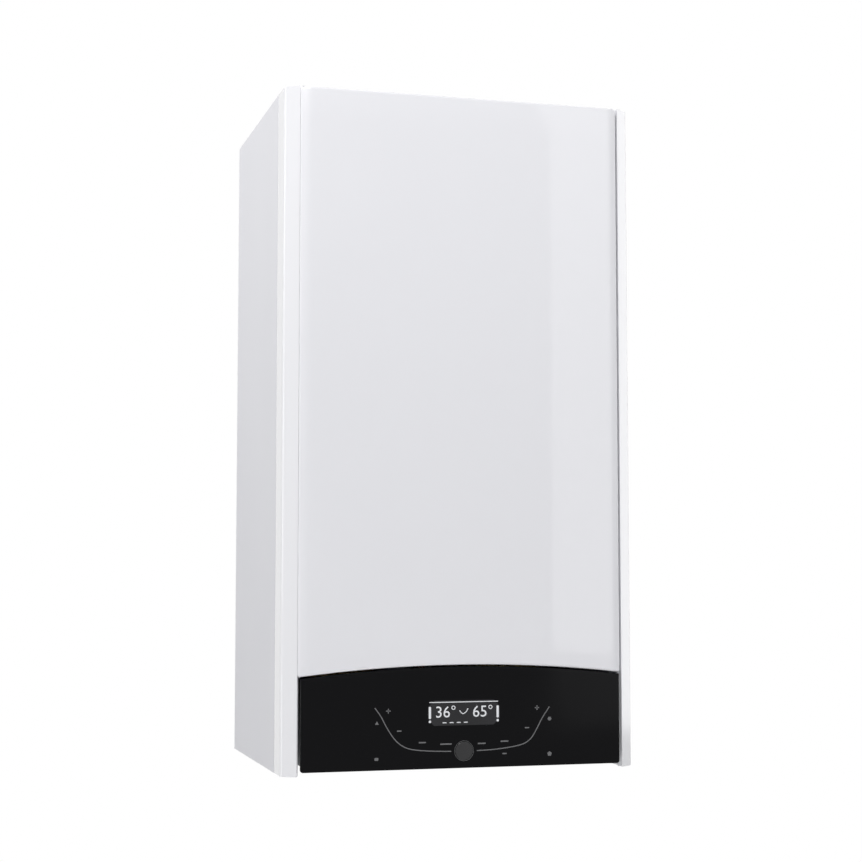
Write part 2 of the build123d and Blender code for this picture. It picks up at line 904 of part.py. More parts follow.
def burner_door():
    back = -(drum_front + flange_thickness)
    with BuildPart() as burner_door:
        forward(0, drum_height, (back, door_front), drum_radius - 2, sides=fine_flats)
        with BuildSketch(facing(back)):
            with Locations((0, drum_height)):
                with PolarLocations(door_bolt_circle, door_bolts):
                    Rectangle(18, 22)
        extrude(amount=door_thickness)
        with BuildSketch(facing(door_front)):
            with BuildLine():
                Polyline(
                    (duct_x - duct_width / 2, duct_foot),
                    (duct_x + duct_width / 2, duct_foot),
                    (38, drum_height - 8),
                    (38, drum_height + 16),
                    (20, drum_height + 36),
                    (-20, drum_height + 36),
                    (-38, drum_height + 16),
                    (-38, drum_height - 8),
                    close=True,
                )
            make_face()
        extrude(amount=duct_depth)
        rim = burner_door.faces().sort_by(Axis.Y)[0].edges().sort_by(Axis.Z)[1:]
        chamfer(rim, 6)
        block(
            (duct_x - duct_width / 2 - 7, duct_x + duct_width / 2 + 7),
            (door_front - duct_depth - 4, door_front),
            (duct_foot, duct_foot + 5),
        )
        with BuildSketch(facing(door_front)):
            with Locations((0, drum_height)):
                with PolarLocations(72, 6, 30):
                    Rectangle(46, 4)
        extrude(amount=5)
    return burner_door.part


def door_nuts():
    with BuildPart() as door_nuts:
        with BuildSketch(facing(door_front)):
            with Locations((0, drum_height)):
                with PolarLocations(door_bolt_circle, door_bolts):
                    RegularPolygon(5.8, 6)
        extrude(amount=6)
    return door_nuts.part


electrode_x = drum_radius - 44.0
electrode_places = [(electrode_x, drum_height + 49), (-electrode_x, drum_height + 49)]


def electrodes():
    with BuildPart() as electrodes:
        for x, height in electrode_places:
            with BuildSketch(facing(door_front - 5.5)):
                with Locations((x, height)):
                    Rectangle(30, 16, rotation=45 if x > 0 else -45)
            extrude(amount=2)
            forward(x, height, (door_front - 7.5, door_front - 26), 5.0, sides=10)
            forward(x, height, (door_front - 26, door_front - 33), 2.0, sides=6)
    return electrodes.part


def fan_housing():
    rear, front = -fan_front + fan_thickness, -fan_front
    left, right = fan_x - fan_radius, fan_x - fan_radius + duct_width
    within = fan_radius - fan_wall
    with BuildPart() as fan_housing:
        forward(fan_x, fan_height, (rear, front), fan_radius, sides=round_flats)
        block((left, right), (front, rear), (fan_height, duct_foot - 5))
        block((left - 7, right + 7), (door_front - duct_depth - 4, rear), (duct_foot - 5, duct_foot))
        chamber = (rear - fan_wall, front + fan_wall)
        forward(fan_x, fan_height, chamber, within, Mode.SUBTRACT, 24)
        block(
            (left + fan_wall, right - fan_wall),
            (front + fan_wall, rear - fan_wall),
            (fan_height, duct_foot),
            mode=Mode.SUBTRACT,
        )
        forward(fan_x, fan_height, (rear, rear - fan_wall), mixer_bore, Mode.SUBTRACT, 16)
        forward(fan_x, fan_height, (front + fan_wall, front), shaft_radius + 1, Mode.SUBTRACT, 12)
    return fan_housing.part


def fan_wheel():
    back_disc = -wheel_front
    blade_rear = back_disc + 28.0
    with BuildPart() as fan_wheel:
        forward(fan_x, fan_height, (back_disc + 2, back_disc), wheel_radius, sides=20)
        with BuildSketch(facing(blade_rear)):
            with Locations((fan_x, fan_height)):
                with PolarLocations(wheel_radius - 8.5, wheel_blades):
                    Rectangle(18, 1.6, rotation=38)
        extrude(amount=blade_rear - back_disc - 1)
        forward(fan_x, fan_height, (back_disc + 10, -fan_front - 20), shaft_radius)
        forward(fan_x, fan_height, (back_disc + 12, back_disc), 9.0, sides=12)
    return fan_wheel.part


def fan_motor():
    rear = -fan_front
    with BuildPart() as fan_motor:
        forward(fan_x, fan_height, (rear, rear - motor_length), motor_radius, sides=round_flats)
        forward(fan_x, fan_height, (rear - motor_length, rear - motor_length - 4), 26, sides=12)
        with BuildSketch(facing(rear)):
            with Locations((fan_x, fan_height)):
                with PolarLocations(motor_radius + 5, 3, 30):
                    Rectangle(14, 12)
        extrude(amount=4)
        block(
            (fan_x - 12, fan_x + 12),
            (rear - motor_length + 12, rear),
            (fan_height - motor_radius - 8, fan_height - motor_radius + 4),
        )
        shaft_hole = (rear, rear - 22)
        forward(fan_x, fan_height, shaft_hole, bore(shaft_radius), Mode.SUBTRACT, bore_flats)
    return fan_motor.part


mixer_front = -fan_front + fan_thickness
mixer_back = mixer_front + mixer_length
gas_port_y = mixer_front + 20.0


def mixer():
    wide = mixer_radius - 1
    with BuildPart() as mixer:
        block(
            (fan_x - wide, fan_x + wide),
            (mixer_front, mixer_back),
            (fan_height - wide, fan_height + wide),
        )
        chamfer(mixer.edges().filter_by(Axis.Y), 10)
        with BuildSketch(level(fan_height - wide - 6)):
            with Locations((fan_x, gas_port_y)):
                RegularPolygon(12, 6)
        extrude(amount=10)
        forward(fan_x, fan_height, (mixer_back, mixer_front), mixer_throat, Mode.SUBTRACT, 16)
        mouth = (mixer_back, mixer_back - 12)
        forward(fan_x, fan_height, mouth, mixer_bore - 3, Mode.SUBTRACT, 16)
    return mixer.part


def air_silencer():
    x, z = silencer_x, silencer_z
    y = (mixer_back, -silencer_gap)
    wall = 2.5
    with BuildPart() as air_silencer:
        block(x, y, z)
        chamfer(air_silencer.edges().filter_by(Axis.Z), 10)
        chamfer(air_silencer.faces().sort_by(Axis.Z)[-1].edges(), 5)
        block(
            (x[0] + wall, x[1] - wall),
            (y[0] + wall, y[1] - wall),
            (z[0], z[1] - 12),
            mode=Mode.SUBTRACT,
        )
        for rib in (z[0] + 40, z[0] + 90):
            block((x[0] - 1, x[1] + 1), (y[0] + 12, y[1] - 12), (rib, rib + 5))
            block(
                (x[0] + wall, x[1] - wall), (y[0] + wall, y[1] - wall), (rib, rib + 5), Mode.SUBTRACT
            )
        forward(fan_x, fan_height, (y[0] + wall, y[0]), mixer_bore, Mode.SUBTRACT, 16)
        block((x[0] + 12, x[1] - 12), (y[1] - 1, -sheet - play), (z[1] - 40, z[1] - 20))
    return air_silencer.part


def gas_valve():
    x, y, z = valve_x, valve_y, valve_z
    with BuildPart() as gas_valve:
        block(x, (y[0] + 26, y[1]), z)
        chamfer(gas_valve.edges().filter_by(Axis.Z), 8)
        block((x[0] + 8, x[0] + 38), (y[0], y[0] + 26), (z[0] + 12, z[0] + 46))
        block((x[1] - 38, x[1] - 8), (y[0], y[0] + 26), (z[0] + 12, z[0] + 46))
        chamfer(gas_valve.faces().sort_by(Axis.Y)[:2].edges(), 3)
        forward(x[0] + 23, z[1] - 16, (y[0] + 26, y[0] + 16), 8.0, sides=16)
        forward(x[1] - 23, z[1] - 16, (y[0] + 26, y[0] + 18), 6.0, sides=16)
    return gas_valve.part


def gas_pipes():
    low = tray_top + play + tail_hex
    with BuildPart() as gas_pipes:
        upright(0, -tail_depth, (low, valve_z[0]), gas_pipe_radius, sides=pipe_flats)
        upright(0, -tail_depth, (valve_z[0] - 12, valve_z[0]), 14, sides=6)
        link_top = fan_height - mixer_radius - 5
        link = (valve_z[1], link_top)
        upright(fan_x, gas_port_y, link, gas_pipe_radius - 1, sides=pipe_flats)
        upright(fan_x, gas_port_y, (valve_z[1], valve_z[1] + 10), 12, sides=6)
    return gas_pipes.part


# ---- Flue -----------------------------------------------------------------------------------
def flue_collar():
    foot = casing_height
    with BuildPart() as flue_collar:
        with BuildSketch(level(foot)):
            with Locations((0, -flue_depth)):
                Rectangle(collar_plate, collar_plate)
                RegularPolygon(air_bore, fine_flats, mode=Mode.SUBTRACT)
        extrude(amount=3)
        with BuildSketch(level(foot)):
            with Locations((0, -flue_depth)):
                Circle(air_bore + collar_wall)
                RegularPolygon(air_bore, fine_flats, mode=Mode.SUBTRACT)
        extrude(amount=collar_top - foot)
        with BuildSketch(level(neck_top + play)):
            with Locations((0, -flue_depth)):
                RegularPolygon(flue_bore + 2.5, 24)
                Circle(flue_bore, mode=Mode.SUBTRACT)
        extrude(amount=collar_top - neck_top - play)
        with BuildSketch(level(foot)):
            with Locations((0, -flue_depth)):
                with PolarLocations((air_bore + flue_bore + 2) / 2, 3, 90):
                    Rectangle(air_bore - flue_bore, 2)
        extrude(amount=3)
    return flue_collar.part


def flue_caps():
    test_places = [(-58, -flue_depth - 58), (58, -flue_depth - 58)]
    plug_places = [(-130, -flue_depth - 30), (130, -flue_depth - 30)]
    with BuildPart() as flue_caps:
        with BuildSketch(level(casing_height + 3)):
            for place in test_places:
                with Locations(place):
                    RegularPolygon(9, 8)
        extrude(amount=7)
        with BuildSketch(level(casing_height)):
            for place in plug_places:
                with Locations(place):
                    RegularPolygon(42, 20)
        extrude(amount=2)
        with BuildSketch(level(casing_height + 2)):
            for place in plug_places:
                with Locations(place):
                    Rectangle(40, 6)
        extrude(amount=2)
    return flue_caps.part


# ---- Water side -----------------------------------------------------------------------------
def tank(x, y, z, corner, edge):
    """A pressed tank shape: cut corners, and a bevel round the face away from the casing."""
    with BuildPart() as shape:
        block(x, y, z)
        chamfer(shape.edges().filter_by(Axis.X), corner)
        chamfer(shape.faces().sort_by(Axis.X)[-1].edges(), edge)
    return shape.part


def expansion_vessel():
    outer = -inner + play
    middle = outer + vessel_thickness / 2
    y, z = vessel_y, vessel_z
    corner = 34.0
    edge = 14.0
    wall = vessel_wall
    tank_shell = tank((outer, outer + vessel_thickness), y, z, corner, edge)
    hollow = tank(
        (outer + wall, outer + vessel_thickness - wall),
        (y[0] + wall, y[1] - wall),
        (z[0] + wall, z[1] - wall),
        corner,
        edge,
    )
    with BuildPart() as expansion_vessel:
        add(tank_shell)
        add(hollow, mode=Mode.SUBTRACT)
        block((middle - 1.5, middle + 1.5), (y[0] + corner, y[1] - corner), (z[0] - 4, z[1] + 4))
        block((middle - 1.5, middle + 1.5), (y[0] - 4, y[1] + 4), (z[0] + corner, z[1] - corner))
        upright(middle, -tail_depth, (z[0] - 12, z[0] + 10), 9, sides=6)
        upright(middle, -tail_depth, (z[0] - 12, z[0] + 10), 4, Mode.SUBTRACT, 6)
    return expansion_vessel.part


def vessel_hose():
    with BuildPart() as vessel_hose:
        upright(vessel_middle, -tail_depth, (block_z[1], vessel_z[0] - 12), 6.0, sides=12)
        for low in (block_z[1], vessel_z[0] - 24):
            with BuildSketch(level(low)):
                with Locations((vessel_middle, -tail_depth)):
                    RegularPolygon(hose_nut, 6)
            extrude(amount=12)
    return vessel_hose.part


def water_pipe(x, low):
    nut = 17.5
    with BuildPart() as water_pipe:
        upright(x, -pipe_depth, (low, boss_low), pipe_radius, sides=pipe_flats)
        for start in (low, boss_low - 14):
            with BuildSketch(level(start)):
                with Locations((x, -pipe_depth)):
                    RegularPolygon(nut, 6)
            extrude(amount=14)
        within = pipe_radius - pipe_wall
        upright(x, -pipe_depth, (low, boss_low), within, Mode.SUBTRACT, pipe_flats)
    return water_pipe.part


def flow_block():
    rod_y = -diverter_depth
    with BuildPart() as flow_block:
        block(flow_block_x, block_y, (block_z[0] + 12, block_z[1] - 14))
        chamfer(flow_block.edges().filter_by(Axis.Z), 9)
        for x in tail_xs[:2]:
            upright(x, -tail_depth, (tail_top, block_z[0] + 14), 18, sides=8)
        upright(-pipe_x, -pipe_depth, (block_z[1] - 16, block_z[1]), 18, sides=8)
        upright(vessel_middle, -tail_depth, (block_z[1] - 16, block_z[1]), 11, sides=6)
        upright(diverter_x, rod_y, (block_z[1] - 16, diverter_top), diverter_bore + 9, sides=8)
        chamber = (block_z[1] - 20, diverter_top - 7)
        upright(diverter_x, rod_y, chamber, diverter_bore, Mode.SUBTRACT, 12)
        guide = (diverter_top - 7, diverter_top)
        upright(diverter_x, rod_y, guide, rod_radius + fit, Mode.SUBTRACT, pipe_flats)
    return flow_block.part


diverter_top = 172.0


def diverter_rod():
    low = block_z[1] - 18
    with BuildPart() as diverter_rod:
        rod = (low, diverter_top + 18)
        upright(diverter_x, -diverter_depth, rod, rod_radius, sides=pipe_flats)
        upright(diverter_x, -diverter_depth, (low + 8, low + 18), diverter_bore - 1, sides=8)
    return diverter_rod.part


def diverter_actuator():
    low = diverter_top
    with BuildPart() as diverter_actuator:
        block(
            (diverter_x - actuator_width / 2, diverter_x + actuator_width / 2),
            (-diverter_depth - 25, -diverter_depth + 12),
            (low, low + 62),
        )
        chamfer(diverter_actuator.edges().filter_by(Axis.Z), 6)
        chamfer(diverter_actuator.faces().sort_by(Axis.Z)[-1].edges(), 4)
        upright(
            diverter_x,
            -diverter_depth,
            (low, low + 18 + diverter_travel + 4),
            rod_radius + 1,
            Mode.SUBTRACT,
            pipe_flats,
        )
    return diverter_actuator.part


relief_spout_y = block_y[0] - 14.0


def return_block():
    with BuildPart() as return_block:
        block(return_block_x, block_y, (block_z[0] + 12, block_z[1] - 14))
        chamfer(return_block.edges().filter_by(Axis.Z), 9)
        for x in tail_xs[3:]:
            upright(x, -tail_depth, (tail_top, block_z[0] + 14), 18, sides=8)
        upright(pump_x, -pump_inlet_depth, (block_z[1] - 16, block_z[1]), 20, sides=8)
        upright(tap_x, -tail_depth, (tray_top + 4, block_z[0] + 14), 9, sides=8)
        upright(tap_x, -tail_depth, (-tail_drop + 4, block_z[0]), tap_stem)
    return return_block.part


pump_inlet_depth = (pump_back + pump_front) / 2


def plate_exchanger():
    back = block_y[1] + 4 + plate_pack_depth
    middle = (block_z[0] + block_z[1]) / 2 + 10
    corner = 14.0
    with BuildPart() as plate_exchanger:
        with BuildSketch(facing(back)) as plate:
            with Locations((0, middle)):
                Rectangle(plate_pack_width, plate_pack_height)
            chamfer(plate.vertices(), corner)
        extrude(amount=plate_pack_depth)
        pitch = plate_pack_depth / (plate_grooves + 1)
        for n in range(plate_grooves):
            with BuildSketch(facing(back - (n + 1) * pitch + 1)):
                with Locations((0, middle)):
                    Rectangle(plate_pack_width + 4, plate_pack_height + 4)
                    Rectangle(
                        plate_pack_width - 4, plate_pack_height - 4, mode=Mode.SUBTRACT
                    )
            extrude(amount=2, mode=Mode.SUBTRACT)
        with BuildSketch(facing(block_y[1] + 4)):
            for x in (-pipe_x + 6, pipe_x - 6):
                for height in (middle - 15, middle + 11):
                    with Locations((x, height)):
                        RegularPolygon(8, 8)
        extrude(amount=4)
    return plate_exchanger.part


def pump_body():
    back, front = -pump_back, -pump_front
    inlet_y = -pump_inlet_depth
    with BuildPart() as pump_body:
        forward(pump_x, pump_height, (back, front), pump_radius + 1, sides=pipe_flats)
        upright(pump_x, inlet_y, (block_z[1], pump_height - 30), 19, sides=8)
        upright(pipe_x, -pipe_depth, (pump_height, pump_outlet), 17, sides=8)
        upright(vent_x, -pipe_depth, (pump_height + 20, vent_low), 9, sides=6)
        chamber = impeller_radius + 3
        forward(pump_x, pump_height, (back - 18, front), chamber, Mode.SUBTRACT, pipe_flats)
    return pump_body.part


pump_outlet = 226.0
vent_x = pump_x + 24.0
vent_low = pump_height + 46.0


def pump_motor():
    back = -pump_front
    front = back - can_length
    with BuildPart() as pump_motor:
        forward(pump_x, pump_height, (back, front), can_radius - play, sides=round_flats)
        block(
            (pump_x - can_radius, pump_x + can_radius),
            (back - 7, back),
            (pump_height - can_radius, pump_height + can_radius),
        )
        block((pump_x - 36, pump_x + 36), (front - 16, front), (pump_height - 30, pump_height + 30))
        chamfer(pump_motor.faces().sort_by(Axis.Y)[0].edges(), 5)
        rotor_room = rotor_radius + 1
        forward(pump_x, pump_height, (back, front + 8), rotor_room, Mode.SUBTRACT, pipe_flats)
        shaft_hole = (back, front + 2)
        forward(pump_x, pump_height, shaft_hole, bore(shaft_radius), Mode.SUBTRACT, bore_flats)
    return pump_motor.part


def pump_rotor():
    back = -pump_front
    with BuildPart() as pump_rotor:
        front = back - can_length + 10
        forward(pump_x, pump_height, (back - 2, front), rotor_radius - 0.5, sides=pipe_flats)
        forward(pump_x, pump_height, (front, front - 7), shaft_radius)
        forward(pump_x, pump_height, (back + 6, back - 2), 9, sides=10)
        forward(pump_x, pump_height, (back + 6, back + 4), impeller_radius, sides=pipe_flats)
        with BuildSketch(facing(back + 22)):
            with Locations((pump_x, pump_height)):
                RegularPolygon(9, 10)
                with PolarLocations(impeller_radius / 2 + 4, impeller_blades):
                    Rectangle(impeller_radius - 9, 2.4, rotation=-24)
        extrude(amount=17)
    return pump_rotor.part


def air_vent():
    with BuildPart() as air_vent:
        with BuildSketch(level(vent_low)):
            with Locations((vent_x, -pipe_depth)):
                RegularPolygon(13, 6)
        extrude(amount=8)
        upright(vent_x, -pipe_depth, (vent_low + 8, vent_low + 28), 12, sides=bore_flats)
        upright(vent_x, -pipe_depth, (vent_low + 28, vent_low + 34), 4.5, sides=8)
    return air_vent.part


def relief_valve():
    back = block_y[0]
    with BuildPart() as relief_valve:
        with BuildSketch(facing(back)):
            with Locations((relief_x, relief_height)):
                RegularPolygon(15, 6)
        extrude(amount=28)
        forward(relief_x, relief_height, (back - 28, back - 44), relief_stem)
        upright(relief_x, relief_spout_y, (-tail_drop + 5, tail_shoulder), spout_radius)
        upright(relief_x, relief_spout_y, (tail_shoulder, relief_height), spout_radius - 0.5, sides=10)
        upright(
            relief_x,
            relief_spout_y,
            (-tail_drop + 5, relief_height - 16),
            spout_radius - 1.2,
            Mode.SUBTRACT,
            8,
        )
    return relief_valve.part


def relief_knob():
    back = block_y[0] - 28 - play
    with BuildPart() as relief_knob:
        with BuildSketch(facing(back)):
            with Locations((relief_x, relief_height)):
                RegularPolygon(16, 10)
        extrude(amount=20)
        chamfer(relief_knob.faces().sort_by(Axis.Y)[0].edges(), 2)
        stem_hole = (back, back - 16)
        forward(relief_x, relief_height, stem_hole, bore(relief_stem), Mode.SUBTRACT, bore_flats)
    return relief_knob.part


def filling_knob():
    high = tray_top + 4 - play
    with BuildPart() as filling_knob:
        upright(tap_x, -tail_depth, (-tail_drop + 2, high), 7, sides=10)
        upright(tap_x, -tail_depth, (-tail_drop + 2, -tail_drop + 17), 12, sides=10)
        stem_hole = (-tail_drop + 3.5, high)
        upright(tap_x, -tail_depth, stem_hole, bore(tap_stem), Mode.SUBTRACT, bore_flats)
    return filling_knob.part


def connection_tails():
    with BuildPart() as connection_tails:
        for x in tail_xs:
            heating = abs(x) != tail_pitch
            radius = heating_tail_radius if heating else water_tail_radius
            upright(x, -tail_depth, (tray_top + play, tail_top), 18.5, sides=6)
            upright(x, -tail_depth, (-tail_drop, tail_shoulder), radius)
            upright(x, -tail_depth, (tail_shoulder, tray_top + play), radius - 1.5, sides=12)
            upright(x, -tail_depth, (-tail_drop, tray_top), radius - 3.5, Mode.SUBTRACT, 8)
    return connection_tails.part


sensor_x = flow_block_x[0] + 18.0


def sensors():
    with BuildPart() as sensors:
        with BuildSketch(facing(block_y[0])):
            with Locations((sensor_x, 88)):
                RegularPolygon(11, 6)
        extrude(amount=10)
        forward(sensor_x, 88, (block_y[0] - 10, block_y[0] - 26), 8, sides=12)
        for x in (-pipe_x, pipe_x):
            front = -pipe_depth - pipe_radius - play
            block((x - 8, x + 8), (front - 12, front), (292, 308))
    return sensors.part


def condensate_trap():
    with BuildPart() as condensate_trap:
        upright(trap_x, -trap_depth, (26, 150), trap_radius, sides=round_flats)
        upright(trap_x, -trap_depth, (-tail_drop, tail_shoulder), spigot_radius)
        upright(trap_x, -trap_depth, (tail_shoulder, 26), spigot_radius - 0.7, sides=12)
        block((trap_x - 13, trap_x + 13), (-trap_depth, -hose_depth + 13), (132, 150))
        upright(trap_x, -hose_depth, (150, 168), hose_neck, sides=16)
        block((trap_x - 8, trap_x + 8), (-trap_depth, block_y[0] - play), (96, 104))
        upright(trap_x, -trap_depth, (-tail_drop, 24), spigot_radius - 2, Mode.SUBTRACT, 8)
    return condensate_trap.part


def condensate_hose():
    low, high = 150 + play, neck_low + 18
    with BuildPart() as condensate_hose:
        upright(trap_x, -hose_depth, (low, high), hose_radius, sides=pipe_flats)
        upright(trap_x, -hose_depth, (low, high), hose_neck + 0.15, Mode.SUBTRACT, 16)
    return condensate_hose.part


gland_place = (-half + 35.0, -tray_depth + 40.0)
gland_radius = 10.0
gland_bore = 4.0


def cable_gland():
    with BuildPart() as cable_gland:
        with BuildSketch(level(tray_top)):
            with Locations(gland_place):
                RegularPolygon(14, 6)
        extrude(amount=5)
        upright(*gland_place, (tray_height - 10, tray_top), gland_radius, sides=12)
        upright(*gland_place, (tray_height - 10, tray_top + 5), gland_bore, Mode.SUBTRACT)
    return cable_gland.part


pieces = {
    "wall_bracket": wall_bracket,
    "back_plate": back_plate,
    "side_panel_left": lambda: side_panel(False),
    "side_panel_right": lambda: side_panel(True),
    "top_panel": top_panel,
    "bottom_tray": bottom_tray,
    "cross_bar": cross_bar,
    "casing_seal": casing_seal,
    "cover_pins": cover_pins,
    "hinge_brackets": hinge_brackets,
    "hinge_pins": hinge_pins,
    "front_panel": front_panel,
    "corner_strip_left": lambda: corner_strip(False),
    "corner_strip_right": lambda: corner_strip(True),
    "cover_hanger": cover_hanger,
    "cover_screws": cover_screws,
    "control_box": control_box,
    "control_lid": control_lid,
    "fascia": fascia,
    "display_module": display_module,
    "circuit_board": circuit_board,
    "push_key": push_key,
    "exchanger_bracket": exchanger_bracket,
    "exchanger_housing": exchanger_housing,
    "exchanger_coil": exchanger_coil,
    "burner_tube": burner_tube,
    "burner_door": burner_door,
    "door_nuts": door_nuts,
    "electrodes": electrodes,
    "fan_housing": fan_housing,
    "fan_wheel": fan_wheel,
    "fan_motor": fan_motor,
    "mixer": mixer,
    "air_silencer": air_silencer,
    "gas_valve": gas_valve,
    "gas_pipes": gas_pipes,
    "flue_collar": flue_collar,
    "flue_caps": flue_caps,
    "expansion_vessel": expansion_vessel,
    "vessel_hose": vessel_hose,
    "flow_pipe": lambda: water_pipe(-pipe_x, block_z[1]),
    "return_pipe": lambda: water_pipe(pipe_x, pump_outlet),
    "flow_block": flow_block,
    "return_block": return_block,
    "plate_exchanger": plate_exchanger,
    "pump_body": pump_body,
    "pump_motor": pump_motor,
    "pump_rotor": pump_rotor,
    "air_vent": air_vent,
    "diverter_rod": diverter_rod,
    "diverter_actuator": diverter_actuator,
    "relief_valve": relief_valve,
    "relief_knob": relief_knob,
    "filling_knob": filling_knob,
    "connection_tails": connection_tails,
    "sensors": sensors,
    "condensate_trap": condensate_trap,
    "condensate_hose": condensate_hose,
    "cable_gland": cable_gland,
}

os.makedirs("parts", exist_ok=True)
for name, make in pieces.items():
    piece = make()
    piece.label = name
    export_step(piece, f"parts/{name}.step")
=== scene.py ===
"""Looks of a wall-hung combi boiler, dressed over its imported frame. Lengths are in metres."""

import json
import math
from functools import cache

import bmesh
import bpy
from mathutils import Matrix, Vector


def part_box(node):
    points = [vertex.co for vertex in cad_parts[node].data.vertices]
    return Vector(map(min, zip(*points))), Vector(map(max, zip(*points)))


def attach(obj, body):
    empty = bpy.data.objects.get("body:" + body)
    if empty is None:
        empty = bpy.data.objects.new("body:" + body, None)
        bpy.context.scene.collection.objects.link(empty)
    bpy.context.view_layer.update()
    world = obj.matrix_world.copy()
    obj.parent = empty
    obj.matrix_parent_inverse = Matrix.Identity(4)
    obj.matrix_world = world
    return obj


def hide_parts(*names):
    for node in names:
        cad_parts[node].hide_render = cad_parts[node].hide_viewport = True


bl_info = {
    "name": "Combi boiler",
    "version": (1, 0, 0),
    "blender": (4, 5, 0),
    "location": "3D View > Sidebar > Boiler",
    "description": "Dresses a wall-hung combi boiler piece by piece",
    "category": "Object",
}

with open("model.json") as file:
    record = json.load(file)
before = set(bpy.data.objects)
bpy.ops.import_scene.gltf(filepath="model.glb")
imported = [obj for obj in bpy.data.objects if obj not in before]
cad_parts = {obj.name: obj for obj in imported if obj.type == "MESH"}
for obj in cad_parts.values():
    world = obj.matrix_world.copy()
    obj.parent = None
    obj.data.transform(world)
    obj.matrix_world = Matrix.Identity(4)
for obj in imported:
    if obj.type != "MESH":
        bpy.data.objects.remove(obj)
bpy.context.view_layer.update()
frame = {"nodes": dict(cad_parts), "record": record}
BODIES = frame["record"]["behaviour"]["bodies"]
BODY_OF = {node: body for body, nodes in BODIES.items() for node in nodes}
SLOT_OF = {row["node"]: row["material_slot"] for row in frame["record"]["subparts"]}
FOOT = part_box("side_panel_left")[0].z  # bottom of the casing
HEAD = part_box("side_panel_left")[1].z  # and its top
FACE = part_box("front_panel")[0].y  # front panel's face
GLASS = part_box("fascia")[0].y  # control panel's glass
QUARTER = math.pi / 2
FORWARD, UPWARD = (0, -1, 0), (0, 0, 1)


def up(height):
    """Height in millimetres above the casing's foot, as a place in the row frame."""
    return FOOT + height / 1000


def even(first, last, steps):
    """Values from first to last in even steps, both included."""
    return [first + (last - first) * n / steps for n in range(steps + 1)]


def pair(middle, reach):
    """Two values, as far below and above the middle."""
    return (middle - reach, middle + reach)


def grid(xs, ys, zs):
    """Every place with one of the xs, one of the ys and one of the zs."""
    return [(x, y, z) for x in xs for y in ys for z in zs]


def fitted(block, **values):
    """Gives a block its own settings."""
    for key, value in values.items():
        setattr(block, key, value)
    return block


def shown(name, data):
    """A new object in the scene."""
    made = bpy.data.objects.new(name, data)
    bpy.context.scene.collection.objects.link(made)
    return made


# ---- Node graphs ----
class Wire:
    """A socket that takes part in sums, so that shader maths reads as maths."""

    def __init__(self, graph, socket):
        self.graph = graph
        self.socket = socket

    def maths(self, operation, *values):
        return self.graph.add("ShaderNodeMath", {"operation": operation}, *values)

    def __add__(self, other):
        return self.maths("ADD", self, other)

    def __sub__(self, other):
        return self.maths("SUBTRACT", self, other)

    def __rsub__(self, other):
        return self.maths("SUBTRACT", other, self)

    def __mul__(self, other):
        return self.maths("MULTIPLY", self, other)

    __radd__ = __add__
    __rmul__ = __mul__

    def most(self, other):
        return self.maths("MAXIMUM", self, other)

    def size(self):
        return self.maths("ABSOLUTE", self)

    def wave(self):
        return self.maths("SINE", self)


class Graph:
    """A node tree that is filled through one method."""

    def __init__(self, tree):
        self.tree = tree

    def node(self, kind, settings=None, *values, **named):
        """A node of that kind: its settings first, then its sockets, in order or by name."""
        made = fitted(self.tree.nodes.new(kind), **(settings or {}))
        sockets = [s for s in made.inputs if s.enabled]
        pairs = list(zip(sockets, values))
        for key, value in named.items():
            label = key.replace("_", " ")
            pairs.append((next(s for s in sockets if s.name.lower() == label), value))
        for socket, value in pairs:
            wires = value if isinstance(value, list) else [value]
            if isinstance(wires[0], Wire):
                for wire in wires:
                    self.tree.links.new(wire.socket, socket)
            else:
                socket.default_value = value
        return made

    def add(self, kind, settings=None, *values, give=0, **named):
        """The Wire of a new node's output; give is that output's number or name."""
        made = self.node(kind, settings, *values, **named)
        outputs = [s for s in made.outputs if s.enabled]
        return Wire(self, outputs[give] if isinstance(give, int) else made.outputs[give])


def cleared(block):
    """The emptied node tree of a material or a world."""
    block.use_nodes = True
    block.node_tree.nodes.clear()
    return block.node_tree


class Finish(Graph):
    """A material whose surface is a Principled shader."""

    def __init__(self, name):
        self.material = bpy.data.materials.new(name)
        super().__init__(cleared(self.material))
        self.place = self.add("ShaderNodeTexCoord", give="Object")

    def noise(self, scale, detail=3.0, rough=0.5, place=None):
        place = place or self.place
        sizes = {"scale": scale, "detail": detail, "roughness": rough}
        return self.add("ShaderNodeTexNoise", vector=place, **sizes)

    def cells(self, scale, give="Distance"):
        return self.add("ShaderNodeTexVoronoi", vector=self.place, scale=scale, give=give)

    def stretched(self, x, y, z):
        """Object coordinates scaled on each axis, for grain that runs one way."""
        return self.add("ShaderNodeMapping", vector=self.place, scale=(x, y, z))

    def axis(self, letter):
        return self.add("ShaderNodeSeparateXYZ", vector=self.place, give=letter)

    def ramp(self, wire, low, high, bottom=0.0, top=1.0):
        return self.add("ShaderNodeMapRange", None, wire, low, high, bottom, top)

    def blend(self, wire, first, second):
        """A colour between two, by a wire from 0 to 1."""
        ends = [c if isinstance(c, Wire) else (*c, 1) for c in (first, second)]
        return self.add("ShaderNodeMix", {"data_type": "RGBA"}, wire, *ends)

    def surface(self, base, rough, metal=0.0, relief=None, depth=0.0001, strength=1.0, **fixed):
        """Ends the material. relief is the height that a Bump node reads."""
        fixed |= {"base_color": base, "roughness": rough, "metallic": metal}
        if relief is not None:
            bump = {"strength": strength, "distance": depth, "height": relief}
            fixed["normal"] = self.add("ShaderNodeBump", **bump)
        shader = self.add("ShaderNodeBsdfPrincipled", **fixed)
        self.node("ShaderNodeOutputMaterial", surface=shader)
        return self.material


def shift(colour, factor):
    return tuple(min(1.0, c * factor) for c in colour)


